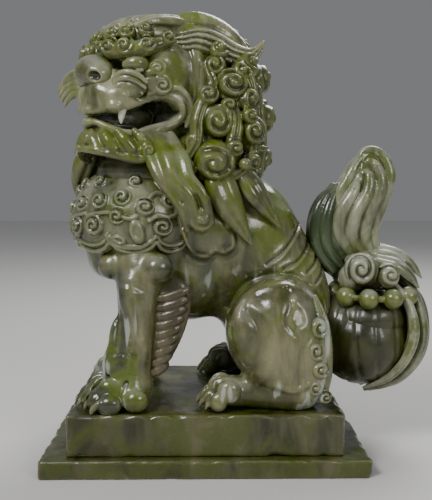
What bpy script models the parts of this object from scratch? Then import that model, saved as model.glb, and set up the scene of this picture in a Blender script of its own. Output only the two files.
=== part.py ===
"""Guardian lion statue in glazed stoneware, built from press-moulded sections and applied sprigs.

Run it with: blender --background --python part.py
Metres, +Z up. The lion faces -Y and its left side is +X, and the head is turned to its left.
The origin is the middle of the underside of the lower plinth. Shapes below are in millimetres.
"""

import math

import bmesh
import bpy
from mathutils import Euler, Matrix, Vector
from mathutils.bvhtree import BVHTree

MM = 0.001
DETAIL = 0.55  # share of each piece's triangles that is kept

# Plinth, in millimetres. Everything of the lion stands on PLINTH_TOP.
LOWER_SIZE = (188.0, 282.0, 16.0)
UPPER_SIZE = (170.0, 237.0, 36.0)
JOINT_GAP = 0.3
PLINTH_WALL = 11.0
PLINTH_CHAMFER = 2.0
VENT_RADIUS = 9.0
VENT_Y = 62.0
UPPER_BASE = LOWER_SIZE[2] + JOINT_GAP
PLINTH_TOP = UPPER_BASE + UPPER_SIZE[2]

# The head has its own frame: same axes as the lion, turned about +Z.
HEAD_CENTRE = (0.0, -41.0, 344.0)
HEAD_TURN = 38.0
BODY_WALL = 9.0

LEFT, RIGHT = 1, -1
SIDES = ((LEFT, "left"), (RIGHT, "right"))

GLAZES = {
    "plinth_glaze": (0.20, 0.22, 0.06),
    "body_glaze": (0.36, 0.36, 0.26),
    "mane_glaze": (0.28, 0.31, 0.12),
    "tail_glaze": (0.30, 0.34, 0.22),
    "mouth_glaze": (0.06, 0.05, 0.05),
    "tooth_glaze": (0.62, 0.62, 0.54),
}
GLAZE_ROUGHNESS = 0.25


def clear_scene():
    for obj in list(bpy.data.objects):
        bpy.data.objects.remove(obj)


def new_collection(name):
    made = bpy.data.collections.new(name)
    bpy.context.scene.collection.children.link(made)
    return made


def glaze(name):
    material = bpy.data.materials.get(name)
    if material is None:
        material = bpy.data.materials.new(name)
        material.use_nodes = True
        shader = material.node_tree.nodes["Principled BSDF"]
        shader.inputs["Base Color"].default_value = (*GLAZES[name], 1.0)
        shader.inputs["Roughness"].default_value = GLAZE_ROUGHNESS
        shader.inputs["Metallic"].default_value = 0.0
    return material


def add_object(name, mesh, colour, parent=None):
    obj = bpy.data.objects.new(name, mesh)
    statue.objects.link(obj)
    obj.parent = parent
    mesh.materials.append(glaze(colour))
    return obj


# ---- shape lists: each ball is (centre, radii, turn), in millimetres and degrees


def ball(centre, radii, turn=(0.0, 0.0, 0.0)):
    if isinstance(radii, (int, float)):
        radii = (radii, radii, radii)
    return centre, radii, turn


def chain(points, flat=(1.0, 1.0, 1.0), turn=(0.0, 0.0, 0.0)):
    """Balls along a smooth curve through (x, y, z, radius) points, close enough to fuse into a limb."""
    made = []
    ends = [points[0], *points, points[-1]]
    for i in range(len(points) - 1):
        p0, p1, p2, p3 = (Vector(ends[i + k]) for k in range(4))
        length = (Vector(p2[:3]) - Vector(p1[:3])).length
        steps = max(1, round(length / (0.25 * (p1[3] + p2[3]))))
        for k in range(steps + (i == len(points) - 2)):
            t = k / steps
            bend = 2 * p1 + (p2 - p0) * t
            bend += (2 * p0 - 5 * p1 + 4 * p2 - p3) * t**2
            bend += (3 * p1 - p0 - 3 * p2 + p3) * t**3
            x, y, z, r = bend / 2
            made.append(ball((x, y, z), tuple(r * f for f in flat), turn))
    return made


def other_side(balls):
    """The same balls mirrored to the other side of the lion."""
    return [
        ((-x, y, z), radii, (rx, -ry, -rz)) for (x, y, z), radii, (rx, ry, rz) in balls
    ]


def on_side(side, balls):
    return balls if side == LEFT else other_side(balls)


def spiral(centre, outward, radius, side, turns=1.5, rise=0.55):
    """Balls along a snail coil that lies on a surface with this outward direction."""
    normal = Vector(outward).normalized()
    across = normal.cross(Vector((0, 0, 1))).normalized()
    up = across.cross(normal)
    made = [ball(centre, radius * 0.62)]
    steps = 22
    for k in range(steps):
        share = k / (steps - 1)
        angle = side * share * turns * math.tau
        reach = radius * (0.68 - 0.55 * share)
        at = Vector(centre) + across * (reach * math.cos(angle)) + up * (reach * math.sin(angle))
        at += normal * (radius * rise * (0.35 + 0.65 * share))
        made.append(ball(tuple(at), radius * (0.32 - 0.08 * share)))
    return made


# ---- from shape lists to solids


def settle(obj):
    """Replaces the object's mesh with the mesh that its modifiers make."""
    graph = bpy.context.evaluated_depsgraph_get()
    mesh = bpy.data.meshes.new_from_object(obj.evaluated_get(graph))
    obj.modifiers.clear()
    obj.data = mesh


def triangulate(obj):
    """Splits every face into triangles, so a bent face can't be read in two ways."""
    bm = bmesh.new()
    bm.from_mesh(obj.data)
    bmesh.ops.triangulate(bm, faces=bm.faces)
    bm.to_mesh(obj.data)
    bm.free()


def triangle_count(mesh):
    return sum(len(face.vertices) - 2 for face in mesh.polygons)


def thin_to(obj, triangles):
    """Collapses edges until about this many triangles are left."""
    count = triangle_count(obj.data)
    if count > triangles:
        thinner = obj.modifiers.new("thin", "DECIMATE")
        thinner.ratio = triangles / count
        settle(obj)


def sculpt(name, balls, colour, triangles, voxel=2.0, soften=3, parent=None):
    """One closed body, fused from overlapping balls and thinned to a share of the triangles asked for."""
    bm = bmesh.new()
    for centre, radii, turn in balls:
        place = Matrix.LocRotScale(
            Vector(centre) * MM,
            Euler([math.radians(a) for a in turn]),
            Vector(radii) * MM,
        )
        bmesh.ops.create_uvsphere(bm, u_segments=16, v_segments=10, radius=1.0, matrix=place)
    mesh = bpy.data.meshes.new(name)
    bm.to_mesh(mesh)
    bm.free()
    obj = add_object(name, mesh, colour, parent)
    fuse = obj.modifiers.new("fuse", "REMESH")
    fuse.mode = "VOXEL"
    fuse.voxel_size = voxel * MM
    smooth = obj.modifiers.new("soften", "SMOOTH")
    smooth.iterations = soften
    settle(obj)
    thin_to(obj, triangles * DETAIL)
    triangulate(obj)
    obj.data.shade_smooth()
    return obj


def largest_body(obj):
    """Drops the crumbs that a cut can leave beside the main body."""
    bm = bmesh.new()
    bm.from_mesh(obj.data)
    bm.verts.ensure_lookup_table()
    unseen = set(bm.verts)
    bodies = []
    while unseen:
        stack = [unseen.pop()]
        body = set(stack)
        while stack:
            for edge in stack.pop().link_edges:
                for vert in edge.verts:
                    if vert in unseen:
                        unseen.remove(vert)
                        body.add(vert)
                        stack.append(vert)
        bodies.append(body)
    bodies.sort(key=len, reverse=True)
    crumbs = [vert for body in bodies[1:] for vert in body]
    bmesh.ops.delete(bm, geom=crumbs, context="VERTS")
    bm.to_mesh(obj.data)
    bm.free()


def cut(obj, cutter):
    """Takes the cutter's shape out of the object, then removes the cutter."""
    difference = obj.modifiers.new("cut", "BOOLEAN")
    difference.operation = "DIFFERENCE"
    difference.object = cutter
    difference.solver = "EXACT"
    difference.use_self = True
    cutter.hide_render = True
    cutter.display_type = "WIRE"
    bpy.context.view_layer.update()
    settle(obj)
    triangulate(obj)
    bpy.data.objects.remove(cutter)


def grown_copy(other, gap):
    """A cutter that stands proud of the other piece by the joint gap."""
    bm = bmesh.new()
    bm.from_mesh(other.data)
    steps = [vert.normal * vert.calc_shell_factor() for vert in bm.verts]
    for vert, step in zip(bm.verts, steps):
        vert.co += step * gap * MM
    mesh = bpy.data.meshes.new("cutter")
    bm.to_mesh(mesh)
    bm.free()
    cutter = bpy.data.objects.new("cutter", mesh)
    cutters.objects.link(cutter)
    cutter.matrix_world = other.matrix_world.copy()
    return cutter


def world_box(obj):
    corners = [obj.matrix_world @ Vector(corner) for corner in obj.bound_box]
    return [(min(c[i] for c in corners), max(c[i] for c in corners)) for i in range(3)]


def boxes_meet(a, b):
    return all(lo_a <= hi_b and lo_b <= hi_a for (lo_a, hi_a), (lo_b, hi_b) in zip(a, b))


def surface_tree(obj):
    points = [obj.matrix_world @ vert.co for vert in obj.data.vertices]
    return BVHTree.FromPolygons(points, [list(face.vertices) for face in obj.data.polygons])


def seat(obj, fixed=None):
    """Cuts the piece back from every earlier piece that it meets, as a sprig is cut to the body under it."""
    bpy.context.view_layer.update()
    earlier = fixed if fixed is not None else [o for o in statue.objects if o is not obj]
    for other in earlier:
        if not boxes_meet(world_box(obj), world_box(other)):
            continue
        # A grown cutter can fold in a tight hollow, so a barely grown one follows it.
        for gap in (JOINT_GAP, JOINT_GAP / 4):
            cutter = grown_copy(other, gap)
            if surface_tree(obj).overlap(surface_tree(cutter)):
                cut(obj, cutter)
            else:
                bpy.data.objects.remove(cutter)
    largest_body(obj)
    return obj


def box_object(name, size, centre, colour, chamfer=0.0):
    bm = bmesh.new()
    place = Matrix.LocRotScale(Vector(centre) * MM, None, Vector(size) * MM)
    bmesh.ops.create_cube(bm, size=1.0, matrix=place)
    mesh = bpy.data.meshes.new(name)
    bm.to_mesh(mesh)
    bm.free()
    obj = add_object(name, mesh, colour)
    if chamfer:
        bevel = obj.modifiers.new("edge", "BEVEL")
        bevel.width = chamfer * MM
        bevel.segments = 2
        settle(obj)
    return obj


def rod_cutter(radius, centre, height):
    bm = bmesh.new()
    bmesh.ops.create_cone(
        bm,
        cap_ends=True,
        segments=20,
        radius1=radius * MM,
        radius2=radius * MM,
        depth=height * MM,
        matrix=Matrix.Translation(Vector(centre) * MM),
    )
    mesh = bpy.data.meshes.new("cutter")
    bm.to_mesh(mesh)
    bm.free()
    cutter = bpy.data.objects.new("cutter", mesh)
    cutters.objects.link(cutter)
    return cutter


# ---- the plinth


def make_plinth():
    lower = box_object(
        "plinth_lower", LOWER_SIZE, (0, 0, LOWER_SIZE[2] / 2), "plinth_glaze", PLINTH_CHAMFER
    )
    upper = box_object(
        "plinth_upper",
        UPPER_SIZE,
        (0, 0, UPPER_BASE + UPPER_SIZE[2] / 2),
        "plinth_glaze",
        PLINTH_CHAMFER,
    )
    hollow = [side - 2 * PLINTH_WALL for side in UPPER_SIZE]
    hollow[2] = 2 * (UPPER_SIZE[2] - PLINTH_WALL)
    cut(upper, box_object("hollow", hollow, (0, 0, UPPER_BASE), "plinth_glaze"))
    for tier in (lower, upper):
        cut(tier, rod_cutter(VENT_RADIUS, (0, VENT_Y, PLINTH_TOP / 2), 2 * PLINTH_TOP))


# ---- the body, sitting on the plinth


TORSO = [
    ball((0, -62, 215), (58, 58, 52)),
    ball((0, -30, 255), (48, 50, 42)),
    ball((0, 18, 198), (52, 70, 62)),
    ball((0, -15, 165), (42, 46, 46)),
    ball((0, 68, 128), (50, 51, 76)),
]
TORSO_HOLLOW = [
    ball((0, -58, 215), (58 - BODY_WALL, 54 - BODY_WALL, 52 - BODY_WALL)),
    ball((0, 16, 198), (52 - BODY_WALL, 68 - BODY_WALL, 62 - BODY_WALL)),
    ball((0, 66, 130), (50 - BODY_WALL, 49 - BODY_WALL, 78 - BODY_WALL)),
]


def make_torso():
    torso = sculpt("torso", TORSO, "body_glaze", 1000, voxel=3.0)
    hollow = sculpt("hollow", TORSO_HOLLOW, "body_glaze", 400, voxel=3.0)
    cut(torso, hollow)
    cut(torso, rod_cutter(VENT_RADIUS, (0, VENT_Y, PLINTH_TOP + 10), 50))
    seat(torso)


def haunch(side):
    return on_side(
        side,
        [
            ball((52, 64, 118), (35, 43, 49)),
            ball((55, 70, 92), (30, 39, 38)),
            ball((58, 84, 72), (22, 20, 20)),
        ],
    )


def hind_foot(side):
    toes = [ball((48 + 9 * i, 7 + abs(i - 1.4) * 2.5, 64), (6.5, 11, 11)) for i in range(4)]
    foot = chain([(60, 72, 62, 14), (61, 42, 65, 13), (62, 18, 67, 14)], (1.2, 1, 1))
    return on_side(side, foot + toes)


def foreleg(side):
    return on_side(
        side,
        chain(
            [
                (40, -54, 192, 27),
                (48, -55, 166, 24),
                (54, -57, 130, 18.5),
                (57, -61, 98, 17),
                (57, -62, 84, 19),
            ]
        ),
    )


def forepaw(side):
    toes = [ball((42 + 10.5 * i, -99 + abs(i - 1.5) * 3, 65), (7.5, 13, 13)) for i in range(4)]
    palm = [ball((57, -74, 68), (23, 28, 19)), ball((57, -92, 63), (21, 17, 13))]
    return on_side(side, palm + toes)


def foreleg_fringe(side):
    lock = chain(
        [(50, -28, 172, 9), (52, -27, 150, 11), (55, -33, 125, 10), (57, -40, 102, 8), (57, -46, 86, 5)],
        (0.8, 1, 1),
    )
    return on_side(side, lock)


def haunch_fringe(side):
    lock = chain(
        [(66, 98, 150, 5), (70, 103, 128, 8), (70, 107, 104, 9), (67, 108, 80, 9), (62, 106, 62, 7)]
    )
    return on_side(side, lock)


def make_legs():
    for side, word in SIDES:
        seat(sculpt(f"{word}_haunch", haunch(side), "body_glaze", 340, voxel=2.5))
        seat(sculpt(f"{word}_hind_foot", hind_foot(side), "body_glaze", 320))
        seat(sculpt(f"{word}_foreleg", foreleg(side), "body_glaze", 260, voxel=2.5))
        seat(sculpt(f"{word}_forepaw", forepaw(side), "body_glaze", 360))
        seat(sculpt(f"{word}_foreleg_fringe", foreleg_fringe(side), "body_glaze", 160, voxel=1.5))
        seat(sculpt(f"{word}_haunch_fringe", haunch_fringe(side), "body_glaze", 160, voxel=1.5))


# ---- the head, in its own frame


SKULL = [
    ball((0, -2, 8), (44, 51, 45)),
    ball((0, -30, 24), (42, 26, 24)),
    ball((0, -40, -6), (34, 30, 22)),
    ball((0, -56, -16), (31, 27, 17)),
    ball((32, -8, -22), (15, 22, 34)),
    ball((-32, -8, -22), (15, 22, 34)),
]
MOUTH = [
    ball((0, -52, -42), (60, 38, 9), (-8, 0, 0)),
    ball((0, -22, -38), (26, 20, 14)),
]


def make_head(head):
    skull = sculpt("head", SKULL, "body_glaze", 900, voxel=2.5, parent=head)
    mouth = sculpt("mouth", MOUTH, "body_glaze", 260, voxel=2.5, parent=head)
    bpy.context.view_layer.update()
    cut(skull, mouth)
    seat(skull)
    jaw = [ball((0, -38, -60), (32, 38, 10)), ball((0, -14, -58), (36, 20, 14))]
    seat(sculpt("lower_jaw", jaw, "body_glaze", 360, parent=head))
    seat(sculpt("tongue", [ball((0, -40, -48), (17, 28, 5))], "mouth_glaze", 160, 1.5, parent=head))
    seat(sculpt("nose", nose(), "body_glaze", 320, 1.5, parent=head))


def nose():
    wings = [ball((side * 11, -73, -4), (9, 10, 9)) for side, _ in SIDES]
    return wings + [ball((0, -77, -1), (13, 9, 11)), ball((0, -64, 3), (13, 16, 10))]


def brow(side):
    ridge = chain([(8, -54, 19, 7.5), (22, -55, 22, 8), (37, -44, 22, 8), (45, -24, 22, 6.5)])
    knobs = [ball((14, -60, 21), 7), ball((28, -56, 21), 6.5), ball((39, -45, 21), 6)]
    return on_side(side, ridge + knobs)


def ear(side):
    sweep = chain(
        [(40, -2, 28, 12), (50, 14, 30, 19), (60, 32, 26, 16), (66, 46, 22, 9), (70, 57, 28, 3.5)],
        (0.6, 1, 1),
    )
    return on_side(side, sweep)


def whiskers(side):
    tuft = chain([(26, -62, -9, 9), (39, -61, -12, 9), (52, -62, -14, 7), (64, -65, -15, 3)], (1, 1, 1.2))
    return on_side(side, tuft)


def fang(side):
    return on_side(side, chain([(27, -57, -25, 4), (27, -58, -34, 3.2), (27, -59, -43, 1.4)]))


def beard():
    edge = [(39, -34, -70, 8), (33, -56, -69, 7), (16, -72, -66, 6), (0, -77, -64, 6)]
    far = [(-x, y, z, r) for x, y, z, r in reversed(edge[:-1])]
    return chain(edge + far)


def make_face(head):
    for side, word in SIDES:
        eye = on_side(side, [ball((32, -46, 8), (9, 8, 7.5))])
        seat(sculpt(f"{word}_eye", eye, "tooth_glaze", 120, 1.2, parent=head))
        seat(sculpt(f"{word}_brow", brow(side), "mane_glaze", 240, 1.5, parent=head))
        seat(sculpt(f"{word}_ear", ear(side), "mane_glaze", 240, 1.5, parent=head))
        seat(sculpt(f"{word}_whiskers", whiskers(side), "body_glaze", 180, 1.5, parent=head))
        seat(sculpt(f"{word}_fang", fang(side), "tooth_glaze", 60, 0.8, 1, parent=head))
    seat(sculpt("beard", beard(), "mane_glaze", 360, 1.8, parent=head))


# ---- the mane


MANE = [
    ball((0, 2, 318), (50, 52, 58)),
    ball((0, -2, 280), (58, 56, 50)),
    ball((10, -14, 358), (40, 44, 32)),
]

# Each curl: centre and radius, on the left side. The right side mirrors it.
SIDE_CURLS = {
    "curl_ear": ((50, 7, 347), 12.0),
    "curl_top": ((51, 25, 329), 17.0),
    "curl_middle": ((58, 9, 299), 17.0),
    "curl_back": ((47, 38, 297), 16.0),
    "curl_low": ((60, 7, 267), 19.0),
}
REAR_CURLS = {"rear_curl_top": (342, 18.0), "rear_curl_middle": (306, 20.0), "rear_curl_low": (270, 18.0)}

# The head is turned, so its left beard lock falls on the shoulder and its right one on the chest.
BEARD_LOCKS = {
    "left": [(56, -44, 282, 8), (62, -30, 262, 12), (64, -12, 240, 13), (60, 4, 222, 11)],
    "right": [(-10, -86, 280, 9), (-18, -100, 264, 12), (-18, -113, 250, 10), (-14, -121, 237, 5)],
}
SIDE_LOCKS = {
    "long_lock": [(56, 12, 254, 8), (56, 16, 238, 11), (54, 24, 218, 8), (52, 38, 199, 3.5)],
    "short_lock": [(46, 34, 252, 7), (46, 44, 236, 8), (42, 56, 220, 5), (38, 64, 210, 2.5)],
}


def make_mane():
    seat(sculpt("mane_cape", MANE, "mane_glaze", 700, voxel=3.0))
    for side, word in SIDES:
        beard_lock = chain(BEARD_LOCKS[word], (0.8, 1, 1))
        seat(sculpt(f"{word}_beard_lock", beard_lock, "mane_glaze", 180, 1.5))
        for part, points in SIDE_LOCKS.items():
            lock = on_side(side, chain(points, (0.7, 1, 1)))
            seat(sculpt(f"{word}_{part}", lock, "mane_glaze", 150, 1.5))
        for part, ((x, y, z), radius) in SIDE_CURLS.items():
            outward = (side * x, y * 0.9, (z - 300) * 0.4)
            curl = spiral((side * x, y, z), outward, radius, side)
            seat(sculpt(f"{word}_{part}", curl, "mane_glaze", 190, 1.2))
    for part, (z, radius) in REAR_CURLS.items():
        curl = spiral((0, 53, z), (0, 1, (z - 300) * 0.006), radius, LEFT)
        seat(sculpt(part, curl, "mane_glaze", 190, 1.2))


# ---- the tail


TAIL_BULB = [
    ball((0, 152, 98), (46, 48, 44)),
    ball((0, 155, 122), (41, 40, 26)),
    ball((0, 128, 112), (34, 24, 34)),
    ball((0, 172, 92), (38, 32, 38)),
]
BEAD_RING_RADII = (40.0, 35.0)
BEAD_RING_CENTRE = (0, 158, 144)
BEAD_ANGLE = 36


def bead_band():
    beads = []
    for k in range(-4, 5):
        angle = math.radians(k * BEAD_ANGLE)
        at_x = BEAD_RING_CENTRE[0] + BEAD_RING_RADII[0] * math.sin(angle)
        at_y = BEAD_RING_CENTRE[1] + BEAD_RING_RADII[1] * math.cos(angle)
        beads.append((at_x, at_y, BEAD_RING_CENTRE[2]))
    strung = [ball(at, 8.6) for at in beads]
    links = []
    for a, b in zip(beads, beads[1:]):
        links += chain([(*a, 5.0), (*b, 5.0)])
    return strung + links


def make_tail():
    seat(sculpt("tail_bulb", TAIL_BULB, "tail_glaze", 620, voxel=2.5))
    knot = [ball((0, 156, 163), (32, 27, 17)), ball((0, 151, 176), (20, 19, 10))]
    knot += chain([(0, 172, 178, 6), (0, 184, 172, 8), (0, 196, 163, 3.5)])
    seat(sculpt("tail_knot", knot, "tail_glaze", 320))
    plume = chain(
        [(0, 148, 180, 15), (0, 142, 203, 19), (0, 147, 228, 23), (0, 153, 250, 22), (0, 154, 267, 15)],
        (0.7, 1, 1),
    )
    seat(sculpt("tail_plume", plume, "tail_glaze", 340))
    flame = chain(
        [(0, 124, 164, 10), (0, 113, 186, 15), (0, 110, 206, 15), (0, 117, 227, 12), (0, 128, 247, 5)],
        (0.8, 1, 1),
    )
    seat(sculpt("tail_front_flame", flame, "tail_glaze", 260))
    seat(sculpt("tail_bead_band", bead_band(), "tail_glaze", 700, 1.5))
    for side, word in SIDES:
        rosette = spiral((side * 29, 144, 168), (side, -0.2, 0.1), 14, side)
        seat(sculpt(f"{word}_tail_rosette", rosette, "tail_glaze", 190, 1.2))
        sweep = chain(
            [(20, 196, 128, 6), (30, 202, 108, 9), (30, 196, 82, 9), (30, 176, 62, 7), (30, 160, 57, 3.5)]
        )
        seat(sculpt(f"{word}_tail_lock", on_side(side, sweep), "tail_glaze", 170, 1.5))


# ---- the chest apron, a relief-moulded collar of lobes


def make_apron():
    lobes = []
    for degrees, drop in ((-108, 4), (-72, 1), (-36, 0), (0, -4), (36, 0), (72, 1), (108, 4)):
        angle = math.radians(degrees)
        at = (60 * math.sin(angle), -60 - 56 * math.cos(angle), 217 + drop)
        lobes.append(ball(at, (25, 10, 34), (-8, 0, degrees)))
    seat(sculpt("chest_apron", lobes, "body_glaze", 900, voxel=2.0, soften=2))


clear_scene()
statue = new_collection("guardian_lion")
cutters = new_collection("cutters")
make_plinth()
make_torso()
make_legs()
head_frame = bpy.data.objects.new("head_frame", None)
statue_frame = bpy.context.scene.collection
statue_frame.objects.link(head_frame)
head_frame.location = Vector(HEAD_CENTRE) * MM
head_frame.rotation_euler = (0, 0, math.radians(HEAD_TURN))
bpy.context.view_layer.update()
make_head(head_frame)
make_face(head_frame)
make_mane()
make_tail()
make_apron()
bpy.context.view_layer.update()
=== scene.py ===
import math

import bpy
import numpy as np
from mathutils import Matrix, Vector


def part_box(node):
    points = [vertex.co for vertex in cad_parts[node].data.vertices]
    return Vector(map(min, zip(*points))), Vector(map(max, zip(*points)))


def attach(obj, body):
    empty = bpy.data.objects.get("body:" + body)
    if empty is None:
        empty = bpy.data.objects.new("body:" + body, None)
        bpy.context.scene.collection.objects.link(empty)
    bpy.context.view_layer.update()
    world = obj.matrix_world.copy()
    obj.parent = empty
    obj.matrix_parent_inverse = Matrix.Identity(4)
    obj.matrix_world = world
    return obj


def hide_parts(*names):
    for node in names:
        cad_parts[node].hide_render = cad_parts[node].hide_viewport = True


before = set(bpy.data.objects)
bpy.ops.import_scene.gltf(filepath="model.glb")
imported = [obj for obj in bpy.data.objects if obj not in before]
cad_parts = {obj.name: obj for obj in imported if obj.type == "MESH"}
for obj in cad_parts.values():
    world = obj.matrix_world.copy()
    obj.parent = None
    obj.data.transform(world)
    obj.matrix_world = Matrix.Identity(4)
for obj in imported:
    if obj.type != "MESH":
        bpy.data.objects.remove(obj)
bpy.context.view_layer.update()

import openvdb
from mathutils import Vector

# Every surface is sculpted as a distance field in millimetres, in the statue's own axes:
# +Z up, the lion faces -Y, its left is +X, origin under the middle of the plinth.
MM = 0.001
FAR = 60.0  # a field's value away from every shape; it has to exceed the widest blend
SHELL = 6.0  # how far from the surface a field is kept when it is meshed
COARSE = 1.0
LEFT, RIGHT = 1, -1
SIDES = ((LEFT, "left"), (RIGHT, "right"))
HEAD_TURN = math.radians(38.0)


def box_mm(node):
    low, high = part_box(node)
    return np.array(low) / MM, np.array(high) / MM


def middle(node):
    low, high = box_mm(node)
    return (low + high) / 2


GROUND = box_mm("plinth_lower")[0][2]
TOP = box_mm("plinth_upper")[1][2]
ORIGIN = np.array([*middle("plinth_lower")[:2], GROUND])
HEAD_FROM_BOX = np.array([-8.8, 12.8, 1.6])  # the head's pivot, from the middle of the head's box
HEAD_ORIGIN = middle("head") + HEAD_FROM_BOX


# ---- sculpting


class Shape:
    """A distance function with the box that it fills."""

    def __init__(self, low, high, distance):
        self.low, self.high, self.distance = np.array(low, float), np.array(high, float), distance

    def press(self, clay, cut, pad):
        return self.distance(*clay.grid(cut))


class Rope:
    """A chain of pieces; a groove follows the nearest piece, so that it runs on unbroken."""

    def __init__(self, pieces):
        self.pieces = pieces
        self.low = np.min([p.low for p in pieces], 0)
        self.high = np.max([p.high for p in pieces], 0)

    def press(self, clay, cut, pad):
        near = np.full([c.stop - c.start for c in cut], FAR, np.float32)
        groove = np.zeros_like(near)
        for piece in self.pieces:
            own = clay.window(piece.low - pad, piece.high + pad)
            if own is None:
                continue
            inner = tuple(slice(o.start - c.start, o.stop - c.start) for o, c in zip(own, cut))
            d, g = piece.distance(*clay.grid(own))
            closer = d < near[inner]
            near[inner] = np.where(closer, d, near[inner])
            groove[inner] = np.where(closer, g, groove[inner])
        return near + groove


def turn_matrix(degrees):
    a, b, c = (math.radians(d) for d in degrees)
    x = np.array([[1, 0, 0], [0, math.cos(a), -math.sin(a)], [0, math.sin(a), math.cos(a)]])
    y = np.array([[math.cos(b), 0, math.sin(b)], [0, 1, 0], [-math.sin(b), 0, math.cos(b)]])
    z = np.array([[math.cos(c), -math.sin(c), 0], [math.sin(c), math.cos(c), 0], [0, 0, 1]])
    return z @ y @ x


def egg(centre, radii, turn=(0, 0, 0), frame_axes=None):
    """An ellipsoid, turned by degrees or set in given axes (one per column)."""
    if isinstance(radii, (int, float)):
        radii = (radii,) * 3
    axes = turn_matrix(turn) if frame_axes is None else frame_axes
    c, r = np.array(centre, float), np.array(radii, float)
    reach = np.sqrt(((axes * r) ** 2).sum(1))

    def distance(x, y, z):
        dx, dy, dz = x - c[0], y - c[1], z - c[2]
        near = far = 0
        for i in range(3):
            along = axes[0, i] * dx + axes[1, i] * dy + axes[2, i] * dz
            near = near + (along / r[i]) ** 2
            far = far + (along / r[i] ** 2) ** 2
        near = np.sqrt(near)
        return near * (near - 1) / np.maximum(np.sqrt(far), 1e-4)

    return Shape(c - reach, c + reach, distance)


def curve_points(points, spacing):
    """Catmull-Rom samples (x, y, z, radius) along the points."""
    p = np.array(points, float)
    p = np.vstack([2 * p[0] - p[1], p, 2 * p[-1] - p[-2]])
    made = []
    for i in range(1, len(p) - 2):
        a, b, c, d = p[i - 1 : i + 3]
        count = max(2, int(np.linalg.norm(c[:3] - b[:3]) / spacing))
        for t in np.arange(count) / count:
            made.append(
                0.5 * (2 * b + (c - a) * t + (2 * a - 5 * b + 4 * c - d) * t**2 + (3 * b - a - 3 * c + d) * t**3)
            )
    made.append(p[-2])
    made = np.array(made)
    made[:, 3] = np.maximum(made[:, 3], 0.3)
    return made


def strand(points, flat=1.0, face=(1, 0, 0), flutes=0, depth=0.0, spacing=3.0):
    """A tapering rope, flattened along face, with grooves running its length."""
    samples = curve_points(points, spacing)
    widest = samples[:, 3].max()
    shapes = []
    for a, b in zip(samples, samples[1:]):
        out = face((a + b) / 2) if callable(face) else face
        out = np.array(out, float) / np.linalg.norm(out)
        shapes.append(strand_piece(a, b, flat, out, flutes, depth, widest))
    return Rope(shapes)


def strand_piece(a, b, flat, face, flutes, depth, widest):
    start, run = a[:3], b[:3] - a[:3]
    length = max(np.linalg.norm(run), 1e-3)
    along = run / length
    side = np.cross(along, face)
    side /= max(np.linalg.norm(side), 1e-6)
    out = np.cross(side, along)
    reach = max(a[3], b[3])

    def distance(x, y, z):
        dx, dy, dz = x - start[0], y - start[1], z - start[2]
        t = dx * along[0] + dy * along[1] + dz * along[2]
        share = np.clip(t / length, 0, 1)
        end = t - share * length
        s = dx * side[0] + dy * side[1] + dz * side[2]
        h = (dx * out[0] + dy * out[1] + dz * out[2]) / flat
        r = a[3] + (b[3] - a[3]) * share
        whole = np.sqrt(s * s + h * h + end * end)
        steep = np.sqrt(s * s + (h / flat) ** 2 + end * end)
        d = whole * (whole / r - 1) / np.maximum(steep / r, 1e-4)
        if not flutes:
            return d, 0.0
        across = np.clip(s / r, -1, 1)
        line = (0.5 + 0.5 * np.cos(math.tau * flutes * (across + 1) / 2)) ** 1.6
        return d, depth * np.minimum(r / widest * 1.4, 1) * line * (1 - across**4)

    return Shape(
        np.minimum(a[:3], b[:3]) - reach, np.maximum(a[:3], b[:3]) + reach, distance
    )


def axes_from(normal, up=(0, 0, 1)):
    n = np.array(normal, float) / np.linalg.norm(normal)
    u = np.array(up, float) - n * np.dot(up, n)
    if np.linalg.norm(u) < 0.1:
        u = np.array([0, 1, 0]) - n * n[1]
    u /= np.linalg.norm(u)
    return n, np.cross(u, n), u


def snail(centre, normal, radius, height, turns, side, depth, start=0.0):
    """A domed spiral curl that lies on a surface."""
    c = np.array(centre, float)
    n, across, up = axes_from(normal)
    dome = egg(c, (height, radius, radius), frame_axes=np.column_stack([n, across, up]))
    pitch = radius / turns
    uneven = 1 + 0.1 * math.sin(0.9 * c[0] + 0.5 * c[1] + 0.7 * c[2])  # no two are pressed alike

    def distance(x, y, z):
        dx, dy, dz = x - c[0], y - c[1], z - c[2]
        a = (dx * across[0] + dy * across[1] + dz * across[2]) * uneven
        b = (dx * up[0] + dy * up[1] + dz * up[2]) / uneven
        rho = np.sqrt(a * a + b * b)
        phase = rho / pitch - side * np.arctan2(b, a) / math.tau + start
        groove = (0.5 + 0.5 * np.cos(math.tau * phase)) ** 1.7
        fade = np.clip(rho / (0.3 * pitch), 0, 1) * np.clip((radius * 1.02 - rho) / (0.2 * radius), 0, 1)
        return dome.distance(x, y, z) + depth * groove * fade

    return Shape(dome.low, dome.high, distance)


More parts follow.
